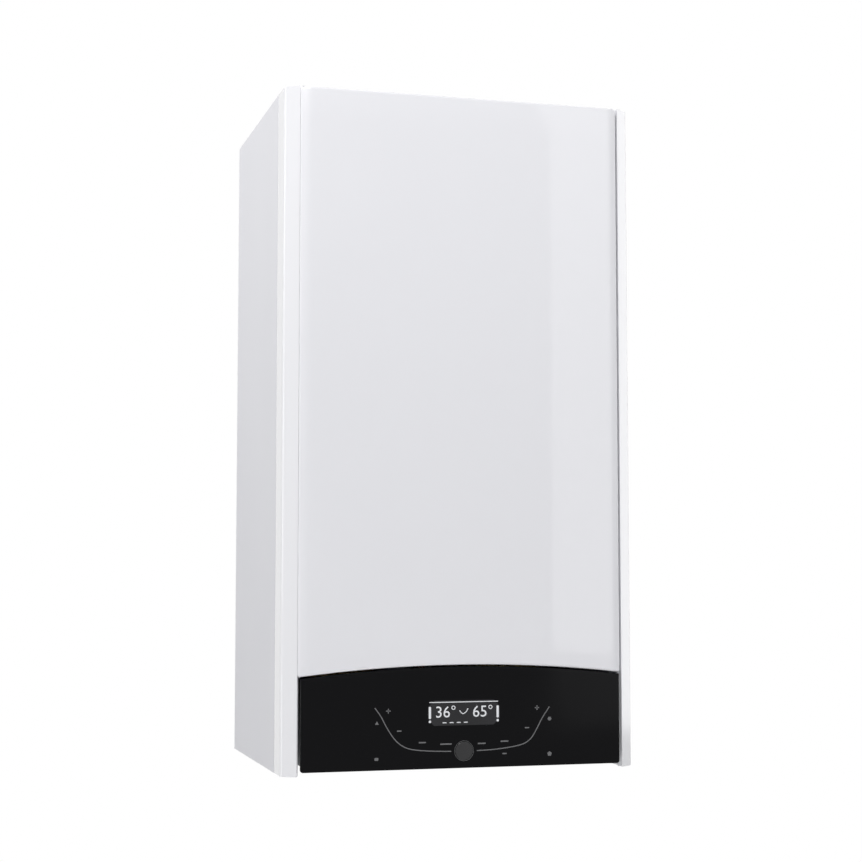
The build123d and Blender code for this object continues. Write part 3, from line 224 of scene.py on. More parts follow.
def enamel(name, colour, rough=0.34, peel=520.0, shine=0.3, coat=(1.0, 0.03, 1.5)):
    """Powder coat on steel: fine orange peel, faint unevenness of tone. coat is the clear
    layer's weight, roughness and index."""
    f = Finish(name)
    skin = f.noise(peel, 2.0, 0.4) * 0.7 + f.noise(peel * 3.1, 1.0) * 0.3
    base = f.blend(f.ramp(f.noise(2.2, 2.0), 0.3, 0.7), shift(colour, 0.985), colour)
    gloss = f.ramp(f.noise(9.0, 2.0), 0.3, 0.7, rough - 0.03, rough + 0.03)
    layer = dict(zip(("coat_weight", "coat_roughness", "coat_ior"), coat))
    return f.surface(base, gloss, 0.0, skin, 0.00006, 0.10, specular_ior_level=shine, **layer)


def plastic(name, colour, rough, grain=1400.0, strength=0.25):
    """Moulded plastic with a fine spark-eroded grain."""
    f = Finish(name)
    base = f.blend(f.noise(35.0), shift(colour, 0.94), shift(colour, 1.06))
    gloss = f.ramp(f.noise(60.0), 0.3, 0.7, rough - 0.06, rough + 0.08)
    return f.surface(base, gloss, 0.0, f.noise(grain, 2.0), 0.00005, strength)


def metal(name, colour, rough, run=(1, 1, 1), streak=260.0, strength=0.12):
    """Rolled, drawn or turned metal, its grain stretched along one axis."""
    f = Finish(name)
    grain = f.noise(streak, 4.0, 0.6, f.stretched(*run))
    base = f.blend(f.noise(22.0), shift(colour, 0.86), shift(colour, 1.08))
    gloss = f.ramp(grain, 0.25, 0.75, rough - 0.07, rough + 0.12)
    return f.surface(base, gloss, 1.0, grain, 0.00005, strength)


def cast(name, colour):
    """Die-cast aluminium: dull, slightly pitted, darker in its pores."""
    f = Finish(name)
    pits = f.cells(900.0)
    tone = f.noise(30.0, 4.0)
    base = f.blend(f.ramp(pits, 0.1, 0.6), shift(colour, 0.72), colour)
    base = f.blend(f.ramp(tone, 0.35, 0.75), base, shift(colour, 1.1))
    gloss = f.ramp(tone, 0.2, 0.8, 0.34, 0.54)
    skin = pits * 0.5 + f.noise(420.0, 4.0) * 0.5
    return f.surface(base, gloss, 0.9, skin, 0.00016, 0.35)


def zinc(name):
    """Hot-dip galvanised sheet with its frost-like spangle."""
    f = Finish(name)
    grey = f.add("ShaderNodeSeparateColor", color=f.cells(230.0, "Color"))
    fine = f.noise(160.0, 4.0, 0.6)
    mottle = grey * 0.4 + fine * 0.25 + f.noise(8.0) * 0.35
    base = f.blend(mottle, (0.57, 0.585, 0.595), (0.68, 0.69, 0.70))
    gloss = f.ramp(grey, 0.0, 1.0, 0.38, 0.47)
    return f.surface(base, gloss, 0.85, fine, 0.00005, 0.12)


def spun_hose(name, colour):
    """Woven steel braid round a hose: two sets of strands that cross."""
    f = Finish(name)
    x, y, z = (f.axis(letter) for letter in "XYZ")
    weave = ((z + x) * 900.0).wave().most(((z - x + y) * 900.0).wave())
    base = f.blend(f.ramp(weave, -0.4, 0.9), shift(colour, 0.35), shift(colour, 1.2))
    return f.surface(base, 0.32, 0.9, weave, 0.0004, 0.8)


def black_glass(name, colour):
    """Printed glass: black behind a polished face, with the faintest dust."""
    f = Finish(name)
    dust = f.ramp(f.cells(420.0), 0.0, 0.05, 1.0, 0.0) * f.ramp(f.noise(60.0), 0.55, 0.7)
    base = f.blend(dust * 0.5, colour, (0.05, 0.05, 0.052))
    gloss = f.ramp(f.noise(14.0), 0.3, 0.8, 0.07, 0.12)
    return f.surface(base, gloss + dust * 0.2, specular_ior_level=0.07)


def lit_print(name, colour, glow):
    """White or grey print, some of it lit from behind."""
    f = Finish(name)
    tone = f.blend(f.noise(900.0, 2.0), shift(colour, 0.92), colour)
    light = {"emission_color": tone, "emission_strength": glow}
    return f.surface(tone, 0.4, specular_ior_level=0.2, **light)


def lens(name):
    """Display window: near black, with the faint glow of its backlight and its pixel grid."""
    f = Finish(name)
    x, z = f.axis("X"), f.axis("Z")
    pixels = (x * 9000.0).wave().most((z * 9000.0).wave())
    edge = f.ramp(x.size(), 0.0, 0.042)
    base = f.blend(edge, (0.005, 0.005, 0.006), (0.009, 0.009, 0.011))
    base = f.blend(f.ramp(pixels, 0.6, 1.0) * 0.25, base, (0.025, 0.025, 0.028))
    light = {"emission_color": base, "emission_strength": 0.35}
    return f.surface(base, 0.12, specular_ior_level=0.3, **light)


def lacquered_board(name):
    """Circuit board: green lacquer over copper tracks."""
    f = Finish(name)
    place = f.stretched(120, 1, 120)
    tracks = f.add("ShaderNodeTexBrick", {"offset": 0.37}, vector=place, give=1)
    base = f.blend(tracks, (0.02, 0.14, 0.06), (0.05, 0.26, 0.12))
    return f.surface(base, 0.35, 0.0, tracks, 0.00008, 0.6)


def rubber(name, colour, rough=0.7):
    """Black rubber or foam with a paler bloom."""
    f = Finish(name)
    base = f.blend(f.ramp(f.noise(70.0, 4.0), 0.4, 0.8), colour, shift(colour, 1.9))
    return f.surface(base, rough, 0.0, f.noise(900.0), 0.00008, 0.35)


def clear_moulding(name, colour):
    """Milky trap body: half-clear plastic with faint flow lines."""
    f = Finish(name)
    flow = f.noise(30.0, 3.0, 0.5, f.stretched(1, 1, 6))
    base = f.blend(flow, shift(colour, 0.9), shift(colour, 1.08))
    return f.surface(base, 0.3, 0.0, flow, 0.0001, 0.2, subsurface_weight=0.15)


def looks(colours):
    """Each finish's maker and what it takes after the name; most are slots of the record."""
    white = tuple(colours.enamel)
    return {
        "white_paint": (enamel, white),
        "white_side": (enamel, white, 0.5, 520.0, 0.15, (0.0, 0.1, 1.5)),
        "white_trim": (enamel, tuple(colours.trim), 0.4, 700.0, 0.2, (1.0, 0.1, 2.0)),
        "galvanised": (zinc,),
        "zinc_steel": (metal, (0.66, 0.67, 0.68), 0.28),
        "foam": (rubber, (0.03, 0.03, 0.03), 0.9),
        "black_glass": (black_glass, tuple(colours.glass)),
        "key_black": (plastic, (0.004, 0.004, 0.005), 0.22, 900.0, 0.1),
        "display": (lens,),
        "grey_plastic": (plastic, (0.17, 0.18, 0.19), 0.5),
        "board_green": (lacquered_board,),
        "cast_aluminium": (cast, (0.55, 0.56, 0.57)),
        "stainless": (metal, (0.60, 0.60, 0.59), 0.27, (1, 1, 8)),
        "ceramic": (plastic, (0.80, 0.78, 0.71), 0.2, 300.0, 0.1),
        "black_plastic": (plastic, (0.022, 0.022, 0.024), 0.5),
        "copper": (metal, (0.78, 0.40, 0.26), 0.24, (3, 3, 0.3), 90.0, 0.03),
        "brass": (metal, (0.72, 0.55, 0.26), 0.28, (1, 1, 5)),
        "flue_white": (plastic, (0.74, 0.75, 0.74), 0.4),
        "vessel_red": (enamel, (0.38, 0.025, 0.02), 0.35, 260.0, 0.3, (0.3, 0.03, 1.5)),
        "knob_red": (plastic, (0.48, 0.02, 0.015), 0.4),
        "knob_blue": (plastic, (0.02, 0.08, 0.30), 0.4),
        "trap_grey": (clear_moulding, (0.55, 0.57, 0.58)),
        "rubber_black": (rubber, (0.015, 0.015, 0.016)),
        "hose_braid": (spun_hose, (0.58, 0.59, 0.60)),
        "print_grey": (lit_print, tuple(colours.print_tone), 0.0),
        "print_white": (lit_print, (0.62, 0.63, 0.65), 0.30),
    }


@cache
def finish(name):
    """A finish, made the first time that it is asked for."""
    maker, *values = looks(bpy.context.scene.boiler_colours)[name]
    return maker(name, *values)


# ---- Meshes ----
def piece(name, mesh, slot, body, replaces=(), bevel=0.0, segments=2, sharp=32.0, paint=None):
    """A finished piece: its object at the origin, its place in its mesh."""
    made = shown(name, mesh)
    mesh.materials.clear()
    mesh.materials.append(finish(paint or slot))
    for polygon in mesh.polygons:
        polygon.use_smooth = True
    angle = math.radians(sharp)
    mesh.set_sharp_from_angle(angle=angle)
    if bevel:
        easing = {"width": bevel, "segments": segments, "limit_method": "ANGLE"}
        easing |= {"angle_limit": angle, "harden_normals": True}
        fitted(made.modifiers.new("Edges", "BEVEL"), **easing)
    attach(made, body)
    if replaces:
        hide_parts(*replaces)
    return made


def remade(node, mesh, **finishing):
    """A mesh that stands for a CAD node, on the node's own body and in its slot."""
    return piece(node + "_look", mesh, SLOT_OF[node], BODY_OF[node], (node,), **finishing)


def dressed(node, bevel, **finishing):
    """The CAD solid with its planes joined up, its edges eased and its finish on."""
    build = bmesh.new()
    build.from_mesh(frame["nodes"][node].data)
    bmesh.ops.remove_doubles(build, verts=build.verts, dist=2e-6)
    flat = math.radians(0.6)
    bmesh.ops.dissolve_limit(build, angle_limit=flat, verts=build.verts, edges=build.edges)
    mesh = bpy.data.meshes.new(node + "_look")
    build.to_mesh(mesh)
    build.free()
    return remade(node, mesh, bevel=bevel, **finishing)


def dress_all(*rows):
    """Dresses nodes that need eased edges alone; a row is the easing and the nodes' names."""
    for bevel, nodes in rows:
        for node in nodes.split():
            dressed(node, bevel)


def mesh_of(verts, faces, name="mesh"):
    made = bpy.data.meshes.new(name)
    made.from_pydata(verts, [], faces)
    made.validate()
    return made


def outwards(mesh):
    """The same mesh with every face turned outwards."""
    build = bmesh.new()
    build.from_mesh(mesh)
    bmesh.ops.recalc_face_normals(build, faces=build.faces)
    build.to_mesh(mesh)
    build.free()
    return mesh


def closed_mesh(verts, rows):
    """A skin over rings of places, closed at both ends. A ring of one place is a pole."""
    faces = []
    for low, high in zip(rows, rows[1:]):
        for n in range(len(low)):
            m = (n + 1) % len(low)
            faces.append(list(dict.fromkeys((low[n], low[m], high[m], high[n]))))
    faces += [row for row in (rows[0], rows[-1]) if len(set(row)) > 1]
    return outwards(mesh_of(verts, faces))


def turned(profile, centre, axis, sides, flutes=0):
    """A turned shape. A row is (distance along the axis, radius, depth of the flutes)."""
    turn = Vector((0, 0, 1)).rotation_difference(Vector(axis)).to_matrix()
    verts, rows = [], []
    for along, radius, depth in profile:
        start = len(verts)
        for a in even(0, 2 * math.pi, sides)[: sides if radius else 1]:
            r = radius - depth * (0.5 + 0.5 * math.cos(flutes * a)) ** 3
            place = Vector((r * math.cos(a), r * math.sin(a), along))
            verts.append(Vector(centre) + turn @ place)
        rows.append([start + n % (len(verts) - start) for n in range(sides)])
    return closed_mesh(verts, rows)


def slabs(parts, place):
    """Flat blocks. A part is an outline and the two levels that it spans; place puts a point
    of the outline at a level."""
    verts, faces = [], []
    for points, low, high in parts:
        start, count = len(verts), len(points)
        verts += [place(*point, level) for level in (low, high) for point in points]
        faces += [range(start, start + count), range(start + count, start + 2 * count)]
        for n in range(count):
            m = (n + 1) % count
            faces.append((start + n, start + m, start + count + m, start + count + n))
    return outwards(mesh_of(verts, faces))


def plain_mesh(holder):
    """An object's evaluated shape as a mesh of its own; the object goes."""
    bpy.context.view_layer.update()
    graph = bpy.context.evaluated_depsgraph_get()
    mesh = bpy.data.meshes.new_from_object(holder.evaluated_get(graph))
    bpy.data.objects.remove(holder)
    return mesh


# ---- Geometry Nodes ----
class Shape(Graph):
    """A Geometry Nodes tree with named inputs, which sets a shape on each point."""

    def __init__(self, name, **inputs):
        tree = bpy.data.node_groups.new(name, "GeometryNodeTree")
        tree.interface.new_socket("Geometry", in_out="OUTPUT", socket_type="NodeSocketGeometry")
        for label, kind in {"Geometry": "Geometry", **inputs, "Material": "Material"}.items():
            tree.interface.new_socket(label, in_out="INPUT", socket_type="NodeSocket" + kind)
        super().__init__(tree)
        self.start = self.node("NodeGroupInput")

    def given(self, label):
        return Wire(self, self.start.outputs[label])

    def on_points(self, shape):
        """Ends the tree: the shape stands on each point, turned to the point's facing."""
        kind = {"data_type": "FLOAT_VECTOR"}
        facing = self.add("GeometryNodeInputNamedAttribute", kind, "facing")
        turn = self.add("FunctionNodeAlignRotationToVector", {"axis": "Z"}, vector=facing)
        points = {"points": self.given("Geometry"), "instance": shape, "rotation": turn}
        placed = self.add("GeometryNodeInstanceOnPoints", **points)
        whole = self.add("GeometryNodeRealizeInstances", geometry=placed)
        smooth = self.add("GeometryNodeSetShadeSmooth", geometry=whole)
        paint = self.given("Material")
        painted = self.add("GeometryNodeSetMaterial", geometry=smooth, material=paint)
        self.node("NodeGroupOutput", geometry=painted)
        return self.tree


@cache
def screw_shape():
    """Flanged heads: a round flange, the head and its raised middle."""
    shape = Shape("Screw heads", Radius="Float", Height="Float", Sides="Int")
    radius, height = shape.given("Radius"), shape.given("Height")
    parts = []
    for wide, tall, sides in ((1.45, 0.28, 20), (1.0, 1.0, shape.given("Sides")), (0.62, 1.12, 12)):
        sizes = {"vertices": sides, "radius": radius * wide, "depth": height * tall}
        body = shape.add("GeometryNodeMeshCylinder", **sizes)
        lift = shape.add("ShaderNodeCombineXYZ", z=height * (tall / 2))
        parts.append(shape.add("GeometryNodeTransform", geometry=body, translation=lift))
    return shape.on_points(shape.add("GeometryNodeJoinGeometry", geometry=parts))


@cache
def ring_shape():
    """Rings of a round wire: threads, hose folds, seals."""
    shape = Shape("Rings", Radius="Float", Wire="Float", Sides="Int")
    circle = "GeometryNodeCurvePrimitiveCircle"
    ring = shape.add(circle, resolution=shape.given("Sides"), radius=shape.given("Radius"))
    wire = shape.add(circle, resolution=6, radius=shape.given("Wire"))
    return shape.on_points(shape.add("GeometryNodeCurveToMesh", None, ring, wire))


def grown(name, tree, places, facing, sizes, slot, body, paint=None, sharp=30.0):
    """Runs a Geometry Nodes tree over points and keeps the result as a plain mesh."""
    seed = mesh_of(places, [])
    turns = seed.attributes.new("facing", "FLOAT_VECTOR", "POINT")
    for row in turns.data:
        row.vector = facing
    holder = shown(name + "_points", seed)
    grow = holder.modifiers.new("Grow", "NODES")
    grow.node_group = tree
    ids = {s.name: s.identifier for s in tree.interface.items_tree if s.in_out == "INPUT"}
    for label, value in {**sizes, "Material": finish(paint or slot)}.items():
        grow[ids[label]] = value
    return piece(name, plain_mesh(holder), slot, body, sharp=sharp, paint=paint)


SCREW_HEADS = {  # radius and height, and the sides of a head that isn't a hexagon
    "casing": (0.0036, 0.0030),
    "rivet": (0.0020, 0.0012, 12),
    "lid": (0.0028, 0.0022),
    "valve": (0.0024, 0.0024),
    "tap": (0.0032, 0.0016, 12),
    "fan": (0.0026, 0.0026),
    "pump": (0.0030, 0.0030),
    "terminal": (0.0020, 0.0014, 12),
}


def screws(name, head, places, facing, slot="zinc_steel", body="chassis"):
    radius, height, sides = (*SCREW_HEADS[head], 6)[:3]
    sizes = {"Radius": radius, "Height": height, "Sides": sides}
    return grown(name, screw_shape(), places, facing, sizes, slot, body)


def rings(name, places, facing, radius, wire, slot, body="chassis", sides=48, paint=None):
    sizes = {"Radius": radius, "Wire": wire, "Sides": sides}
    return grown(name, ring_shape(), places, facing, sizes, slot, body, paint, 60)


# ---- Properties ----
def number(label, words, default, **kind):
    return bpy.props.FloatProperty(name=label, description=words, default=default, **kind)


def length(label, words, default, least=0.0):
    return number(label, words, default, min=least, unit="LENGTH", precision=4)


def power(label, words, default):
    return number(label, words, default, min=0, unit="POWER")


def colour(label, words, default):
    kind = {"size": 3, "min": 0, "max": 1, "subtype": "COLOR"}
    return bpy.props.FloatVectorProperty(name=label, description=words, default=default, **kind)


class BoilerCoverSizes(bpy.types.PropertyGroup):
    """Sizes of the front cover."""

    half_width: length("Half width", "Middle of the front panel to its side", 0.18272)
    offset: length("Offset", "Panel's middle right of the casing's", -0.00123, -0.01)
    roll: length("Roll", "Radius of the long roll towards each side", 0.030)
    turn: length("Turn", "Radius of the tight turn at each side", 0.0025)
    drop: length("Drop", "How far the panel's top lies below the strips'", 0.0012)
    lip: length("Lip", "Radius of the lip along the arch and the top", 0.0028)
    turn_in: length("Turn in", "How far the lip turns in", 0.0075)
    arch_height: length("Arch height", "Crown of the arch above the casing's foot", 0.1158)
    arch_rise: length("Arch rise", "Rise of the arch over the panel's width", 0.0108)
    sheet: length("Sheet", "Thickness of the panel's sheet", 0.001)
    nose: length("Nose", "Radius of the corner strips' noses", 0.007)
    screw_in: length("Screw inset", "Casing's side to the cover screws", 0.009)
    nose_back: length("Nose back", "Strips' front edge to their corner", 0.0115)
    strip_wall: length("Strip wall", "Thickness of the corner strips", 0.0024)
    groove: length("Groove", "Depth of the groove beside the panel", 0.0065)
    floor_reach: length("Groove floor", "Strips' inner edge to the groove floor's end", 0.00255)


class BoilerPrintSizes(bpy.types.PropertyGroup):
    """Sizes of what is printed on the control panel."""

    line: length("Line", "Width of the curved guide lines", 0.0011)
    digit: length("Digit", "Height of the figures in the display", 0.0125)
    window_half: length("Window", "Half width of the display window", 0.0405)
    window_low: length("Window foot", "Foot of the window above the casing's foot", 0.0505)
    window_high: length("Window head", "Head of the window above the casing's foot", 0.0775)


class BoilerPipeSizes(bpy.types.PropertyGroup):
    """Sizes of the threads and hose folds."""

    pitch: length("Pitch", "Distance between thread turns", 0.0018)
    fold: length("Fold", "Distance between the folds of the condensate hose", 0.006)


class BoilerColours(bpy.types.PropertyGroup):
    """Colours of the finishes."""

    enamel: colour("Enamel", "Powder coat of the casing", (0.80, 0.80, 0.83))
    trim: colour("Trim", "Corner strips", (0.79, 0.79, 0.815))
    glass: colour("Glass", "Print behind the control panel's glass", (0.0035, 0.0035, 0.0042))
    print_tone: colour("Print", "Guide lines and small marks", (0.16, 0.16, 0.165))


class BoilerStage(bpy.types.PropertyGroup):
    """Light and floor."""

    floor: length("Floor", "Floor below the casing's foot", 1.5)
    key: power("Key", "Large soft lamp, upper left", 71.0)
    wash: power("Wash", "Soft lamp above the left flank", 11.0)
    edge: power("Edge", "Tall soft lamp that the left corner mirrors", 4.5)
    card: power("Card", "Tall soft lamp whose edge the front mirrors", 9.3)
    rim: power("Rim", "Tall soft lamp beside the right flank", 11.0)
    lift: power("Lift", "Soft lamp below, for the lip of the arch", 6.5)
    ambient: number("Ambient", "Strength of the room's light", 0.2, min=0)


# ---- Front cover ----
SIDE_REACH = 0.043  # the panel's sides run this far back from its face
FLANGE = 0.0115  # and end in a flange this wide, behind the strip
SLANT = math.radians(23)  # slope at which the long roll meets the tight turn
PLATE_GAP = 0.006  # a strip's end plates stop this far before the side panel
HOLE_BACK = 0.008  # cover screws' holes behind the side panel's front
HOLE_RADIUS = 0.0022
TAB = (0.005, 0.008)  # levels of the strip's fixing tab above its foot
TAB_IN = 0.0004  # the tab runs this far into the strip's wall


def cover_section(sizes):
    """Points across the cover with their outward normals, left to right."""
    half, roll, turn = sizes.half_width, sizes.roll, sizes.turn
    rear = FACE + SIDE_REACH
    side = FACE + roll * (1 - math.cos(SLANT)) + turn * math.cos(SLANT)
    left = [(-half - FLANGE, rear, 0, 0), (-half, rear, 0, 0)]
    left += [(-half, y, -1, 0) for y in even(rear, side, 3)[1:-1]]
    for a in even(0, QUARTER - SLANT, 6):
        nx, ny = -math.cos(a), -math.sin(a)
        left.append((-half + turn + nx * turn, side + ny * turn, nx, ny))
    span = half - turn * (1 - math.sin(SLANT)) - roll * math.sin(SLANT)
    for a in even(SLANT, 0, 8)[1:]:
        nx, ny = -math.sin(a), -math.cos(a)
        left.append((-span + nx * roll, FACE + roll + ny * roll, nx, ny))
    flat = [(x, FACE, 0, -1) for x in even(-span, span, 36)[1:-1]]
    right = [(-x, y, -nx, ny) for x, y, nx, ny in reversed(left)]
    return [(x + sizes.offset, y, nx, ny) for x, y, nx, ny in left + flat + right]


def arch_at(sizes, x):
    """Height of the arched foot at x."""
    half, rise = sizes.half_width, sizes.arch_rise
    radius = (half**2 + rise**2) / (2 * rise)
    reach = min(abs(x - sizes.offset), half)
    return FOOT + sizes.arch_height - (radius - math.sqrt(radius**2 - reach**2))


def cover_column(sizes, foot, head):
    """Up the cover, pairs of inset and height: the foot's lip, the wall, the top's lip."""
    lip, bends = sizes.lip, even(0, QUARTER, 6)
    rows = [(sizes.turn_in, foot)]
    rows += [(lip * (1 - math.sin(a)), foot + lip * (1 - math.cos(a))) for a in bends]
    rows += [(0.0, z) for z in even(foot + lip, head - lip, 20)[1:-1]]
    rows += [(lip * (1 - math.cos(a)), head - lip * (1 - math.sin(a))) for a in bends]
    return rows + [(sizes.turn_in, head + sizes.drop)]


def front_panel_mesh(sizes):
    """The pressed cover: rolled sides, an arched foot with a rolled lip, and a closed top."""
    section = cover_section(sizes)
    head = HEAD - sizes.drop
    columns = [cover_column(sizes, arch_at(sizes, x), head) for x, y, nx, ny in section]
    verts = []
    for row in zip(*columns):
        for (inset, z), (x, y, nx, ny) in zip(row, section):
            # a lip in the tight turn stays inside its radius, so the outline can't cross itself
            reach = inset if abs(nx) < 0.5 else min(inset, 0.96 * sizes.turn)
            verts.append((x - nx * reach, y - ny * reach, z))
    wide = len(section)
    last = len(verts) - wide
    corners = [start + n for start in range(0, last, wide) for n in range(wide - 1)]
    faces = [(a, a + 1, a + wide + 1, a + wide) for a in corners]
    faces.append([last + n for n in range(1, wide - 1)])
    return mesh_of(verts, faces, "front_panel_look")


def strip_mesh(sizes, side):
    """A folded corner strip with its rounded nose, end plates and fixing tab."""
    low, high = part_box(f"corner_strip_{side}")
    half = max(abs(low.x), abs(high.x))
    floor = min(abs(low.x), abs(high.x))
    inner = floor + sizes.floor_reach
    front, tab_back = low.y, high.y
    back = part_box(f"side_panel_{side}")[0].y
    way = Vector((half - inner, sizes.nose_back)).normalized()
    bend = math.atan2(way.x, way.y)
    corner = Vector((half, front + sizes.nose_back))
    nose = sizes.nose
    centre = corner - way * nose * math.tan(bend / 2) + Vector((-way.y, way.x)) * nose
    wall, groove = sizes.strip_wall, front + sizes.groove
    sheet = [(half, back)]
    for a in even(QUARTER, QUARTER - bend, 12):
        sheet.append((centre.x + nose * math.sin(a), centre.y - nose * math.cos(a)))
    sheet += [(inner, front), (inner, groove), (floor, groove), (floor, groove + sizes.sheet)]
    sheet += [(inner + wall, groove + sizes.sheet), (inner + wall, front + 1.4 * wall)]
    sheet += [(half - wall, corner.y + wall), (half - wall, back)]
    plate = [(half - wall, back - PLATE_GAP), (half - wall, corner.y)]
    plate += [(inner + wall / 2, front + wall), (inner + wall / 2, back - PLATE_GAP)]
    parts = [(sheet, low.z, high.z), (plate, low.z, low.z + wall), (plate, high.z - wall, high.z)]
    hole = Vector((half - sizes.screw_in, back + HOLE_BACK))
    start = back - PLATE_GAP
    for edge, turn in ((half - wall + TAB_IN, 1), (half - 1.5 * sizes.screw_in, -1)):
        points = [(hole.x, start), (edge, start), (edge, tab_back), (hole.x, tab_back)]
        for a in even(0, math.pi, 8):
            out, along = HOLE_RADIUS * math.sin(a), HOLE_RADIUS * math.cos(a)
            points.append((hole.x + turn * out, hole.y + along))
        parts.append((points, low.z + TAB[0], low.z + TAB[1]))
    flip = -1 if side == "left" else 1
    return slabs(parts, lambda x, y, z: (flip * x, y, z))


class BOILER_OT_cover(bpy.types.Operator):
    """Front panel, corner strips, hanger and screws"""

    bl_idname = "boiler.cover"
    bl_label = "Front cover"

    def execute(self, context):
        sizes = context.scene.boiler_cover
        panel = remade("front_panel", front_panel_mesh(sizes), sharp=40)
        fitted(panel.modifiers.new("Sheet", "SOLIDIFY"), thickness=sizes.sheet, offset=-1)
        for side in ("left", "right"):
            mesh = strip_mesh(sizes, side)
            remade(f"corner_strip_{side}", mesh, bevel=0.0006, segments=3, sharp=36)
        dress_all((0.0003, "cover_hanger"), (0.0004, "cover_screws"))
        return {"FINISHED"}


# ---- Casing ----
class BOILER_OT_casing(bpy.types.Operator):
    """Side, top and back panels, tray, wall bracket and the frame's small sheet parts"""

    bl_idname = "boiler.casing"
    bl_label = "Casing"

    def execute(self, context):
        for node in ("side_panel_left", "side_panel_right", "top_panel"):
            dressed(node, 0.0004, paint="white_side")
        dress_all(
            (0.0004, "wall_bracket back_plate bottom_tray cross_bar hinge_brackets"),
            (0.0012, "casing_seal"),
            (0.0005, "cover_pins"),
            (0.0004, "hinge_pins"),
        )
        low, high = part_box("back_plate")
        rivet_in, rivet_end, sheet = 0.006, 0.03, 0.0012
        heights = even(low.z + rivet_end, high.z - rivet_end, 6)
        rivets = grid((low.x + rivet_in, high.x - rivet_in), (-sheet,), heights)
        screws("side_rivets", "rivet", rivets, FORWARD)
        for name, x, ys, level, way in (
            ("top_screws", 0.185, (-0.03, -0.235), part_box("top_panel")[1].z, 1),
            ("tray_screws", 0.186, (-0.02, -0.215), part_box("bottom_tray")[0].z, -1),
        ):
            screws(name, "casing", grid(pair(0, x), ys, (level,)), (0, 0, way))
        return {"FINISHED"}


# ---- Control panel ----
# Places on the glass are in millimetres, from the casing's middle and above its foot.
LEFT_GUIDE = ((-99.6, 71), (-92.9, 61.8), (-86.8, 50.5), (-78, 37.5), (-69.1, 29.9))
LEFT_GUIDE += ((-57.9, 25.8), (-37.8, 23.7), (-14.5, 22.8))
RIGHT_GUIDE = ((14.5, 22.8), (38.1, 23.9), (64.5, 27.7), (76.1, 34), (83.1, 44.2))
RIGHT_GUIDE += ((89.6, 56), (98.1, 68.4))
CHECK_LINE = ((-5, 66.5), (-1.5, 63.0), (2.5, 65.0), (4.5, 68.5))  # between the figures
# Marks, each with its width and height
PLUSES = ((-84.7, 67.5, 5.2, 1.2), (83.8, 67.6, 5.2, 1.2))
MINUSES = ((-72.6, 45.9, 5.0, 1.4), (72.1, 46.1, 5.0, 1.4))
TOUCH_BLOCK = (-97.8, 16.6, 4.4, 3.2)
DASHES = ((-46.8, 33, 8, 1.5), (-20.4, 30.7, 13, 1.5), (20.1, 30.4, 9, 1.5), (46.1, 32.1, 9, 1.5))
LOW_DASH = (46.1, 18.8, 5, 1.4)
LIT_BARS = ((-38.4, 64.5, 2.6, 13), (38.4, 64.5, 2.6, 13), (-38.4, 55, 2.6, 2.6))
LIT_BARS += ((38.4, 55, 2.6, 2.6), (0, 75.6, 78, 0.9))
LIT_DASHES = tuple((-22 + 8 * n, 53.6, 4.5, 1.0) for n in range(4))
# Marks with equal sides, each with its width, sides and turn
TOUCH_DOTS = ((-97.3, 54.5, 5.0, 3, QUARTER), (98.3, 55.3, 4.6, 6, 0), (98.1, 17.1, 5.4, 5, QUARTER))
FIGURES = (("flow_reading", "36°", -20.5), ("water_reading", "65°", 21.5))
FIGURE_LEVEL = 64.5
PRINT_LIFT = 0.00004  # the print's face before the glass
KEY_RING = 0.0107  # radius
DIGIT_EM = 1.38  # a font's size over the height of its figures


def ribbon(points, width, steps=4):
    """A flat line of a given width along points, smoothed between them."""
    path = [Vector(p) for p in (points[0], *points, points[-1])]
    dense = []
    for a, b, c, d in zip(path, path[1:], path[2:], path[3:]):
        for t in even(0, 1, steps)[:-1]:
            curve = 2 * b + (c - a) * t + (2 * a - 5 * b + 4 * c - d) * t**2
            dense.append(0.5 * (curve + (3 * b - a - 3 * c + d) * t**3))
    dense.append(path[-1])
    edges = []
    for before, point, after in zip([dense[0], *dense], dense, [*dense[1:], dense[-1]]):
        run = after - before
        across = Vector((-run.y, run.x)).normalized() * width / 2
        edges.append((tuple(point + across), tuple(point - across)))
    return [[a, c, d, b] for (a, b), (c, d) in zip(edges, edges[1:])]


def block_mark(x, z, wide, tall):
    """The outline of a small block with cut corners."""
    w, h = wide / 2, tall / 2
    cut = min(w, h) / 2
    half = [(cut - w, -h), (w - cut, -h), (w, cut - h), (w, h - cut)]
    return [(x + way * a, z + way * b) for way in (1, -1) for a, b in half]


def dot_mark(x, z, wide, sides, turn):
    """The outline of a small mark with equal sides."""
    turns = even(turn, turn + 2 * math.pi, sides)[:-1]
    return [(x + wide / 2 * math.cos(a), z + wide / 2 * math.sin(a)) for a in turns]


def printed(name, outlines, lift, depth, paint=None):
    """Outlines as thin blocks, their faces so far before the glass and so thick."""
    face = GLASS - lift
    parts = [(points, face, face + depth) for points in outlines]
    mesh = slabs(parts, lambda x, z, y: (x / 1000, y, up(z)))
    return piece(name, mesh, "display", "control_panel", sharp=20, paint=paint)


def figures(name, words, x, z, size, lift):
    """Numerals as a thin raised mesh."""
    shape = {"body": words, "size": size * DIGIT_EM, "extrude": 0.00003, "resolution_u": 3}
    letters = bpy.data.curves.new(name, "FONT")
    fitted(letters, align_x="CENTER", align_y="CENTER", **shape)
    mesh = plain_mesh(shown(name + "_text", letters))
    place = Matrix.Translation((x / 1000, GLASS - lift, up(z)))
    mesh.transform(place @ Matrix.Rotation(QUARTER, 4, "X"))
    return piece(name, mesh, "display", "control_panel", paint="print_white", sharp=20)


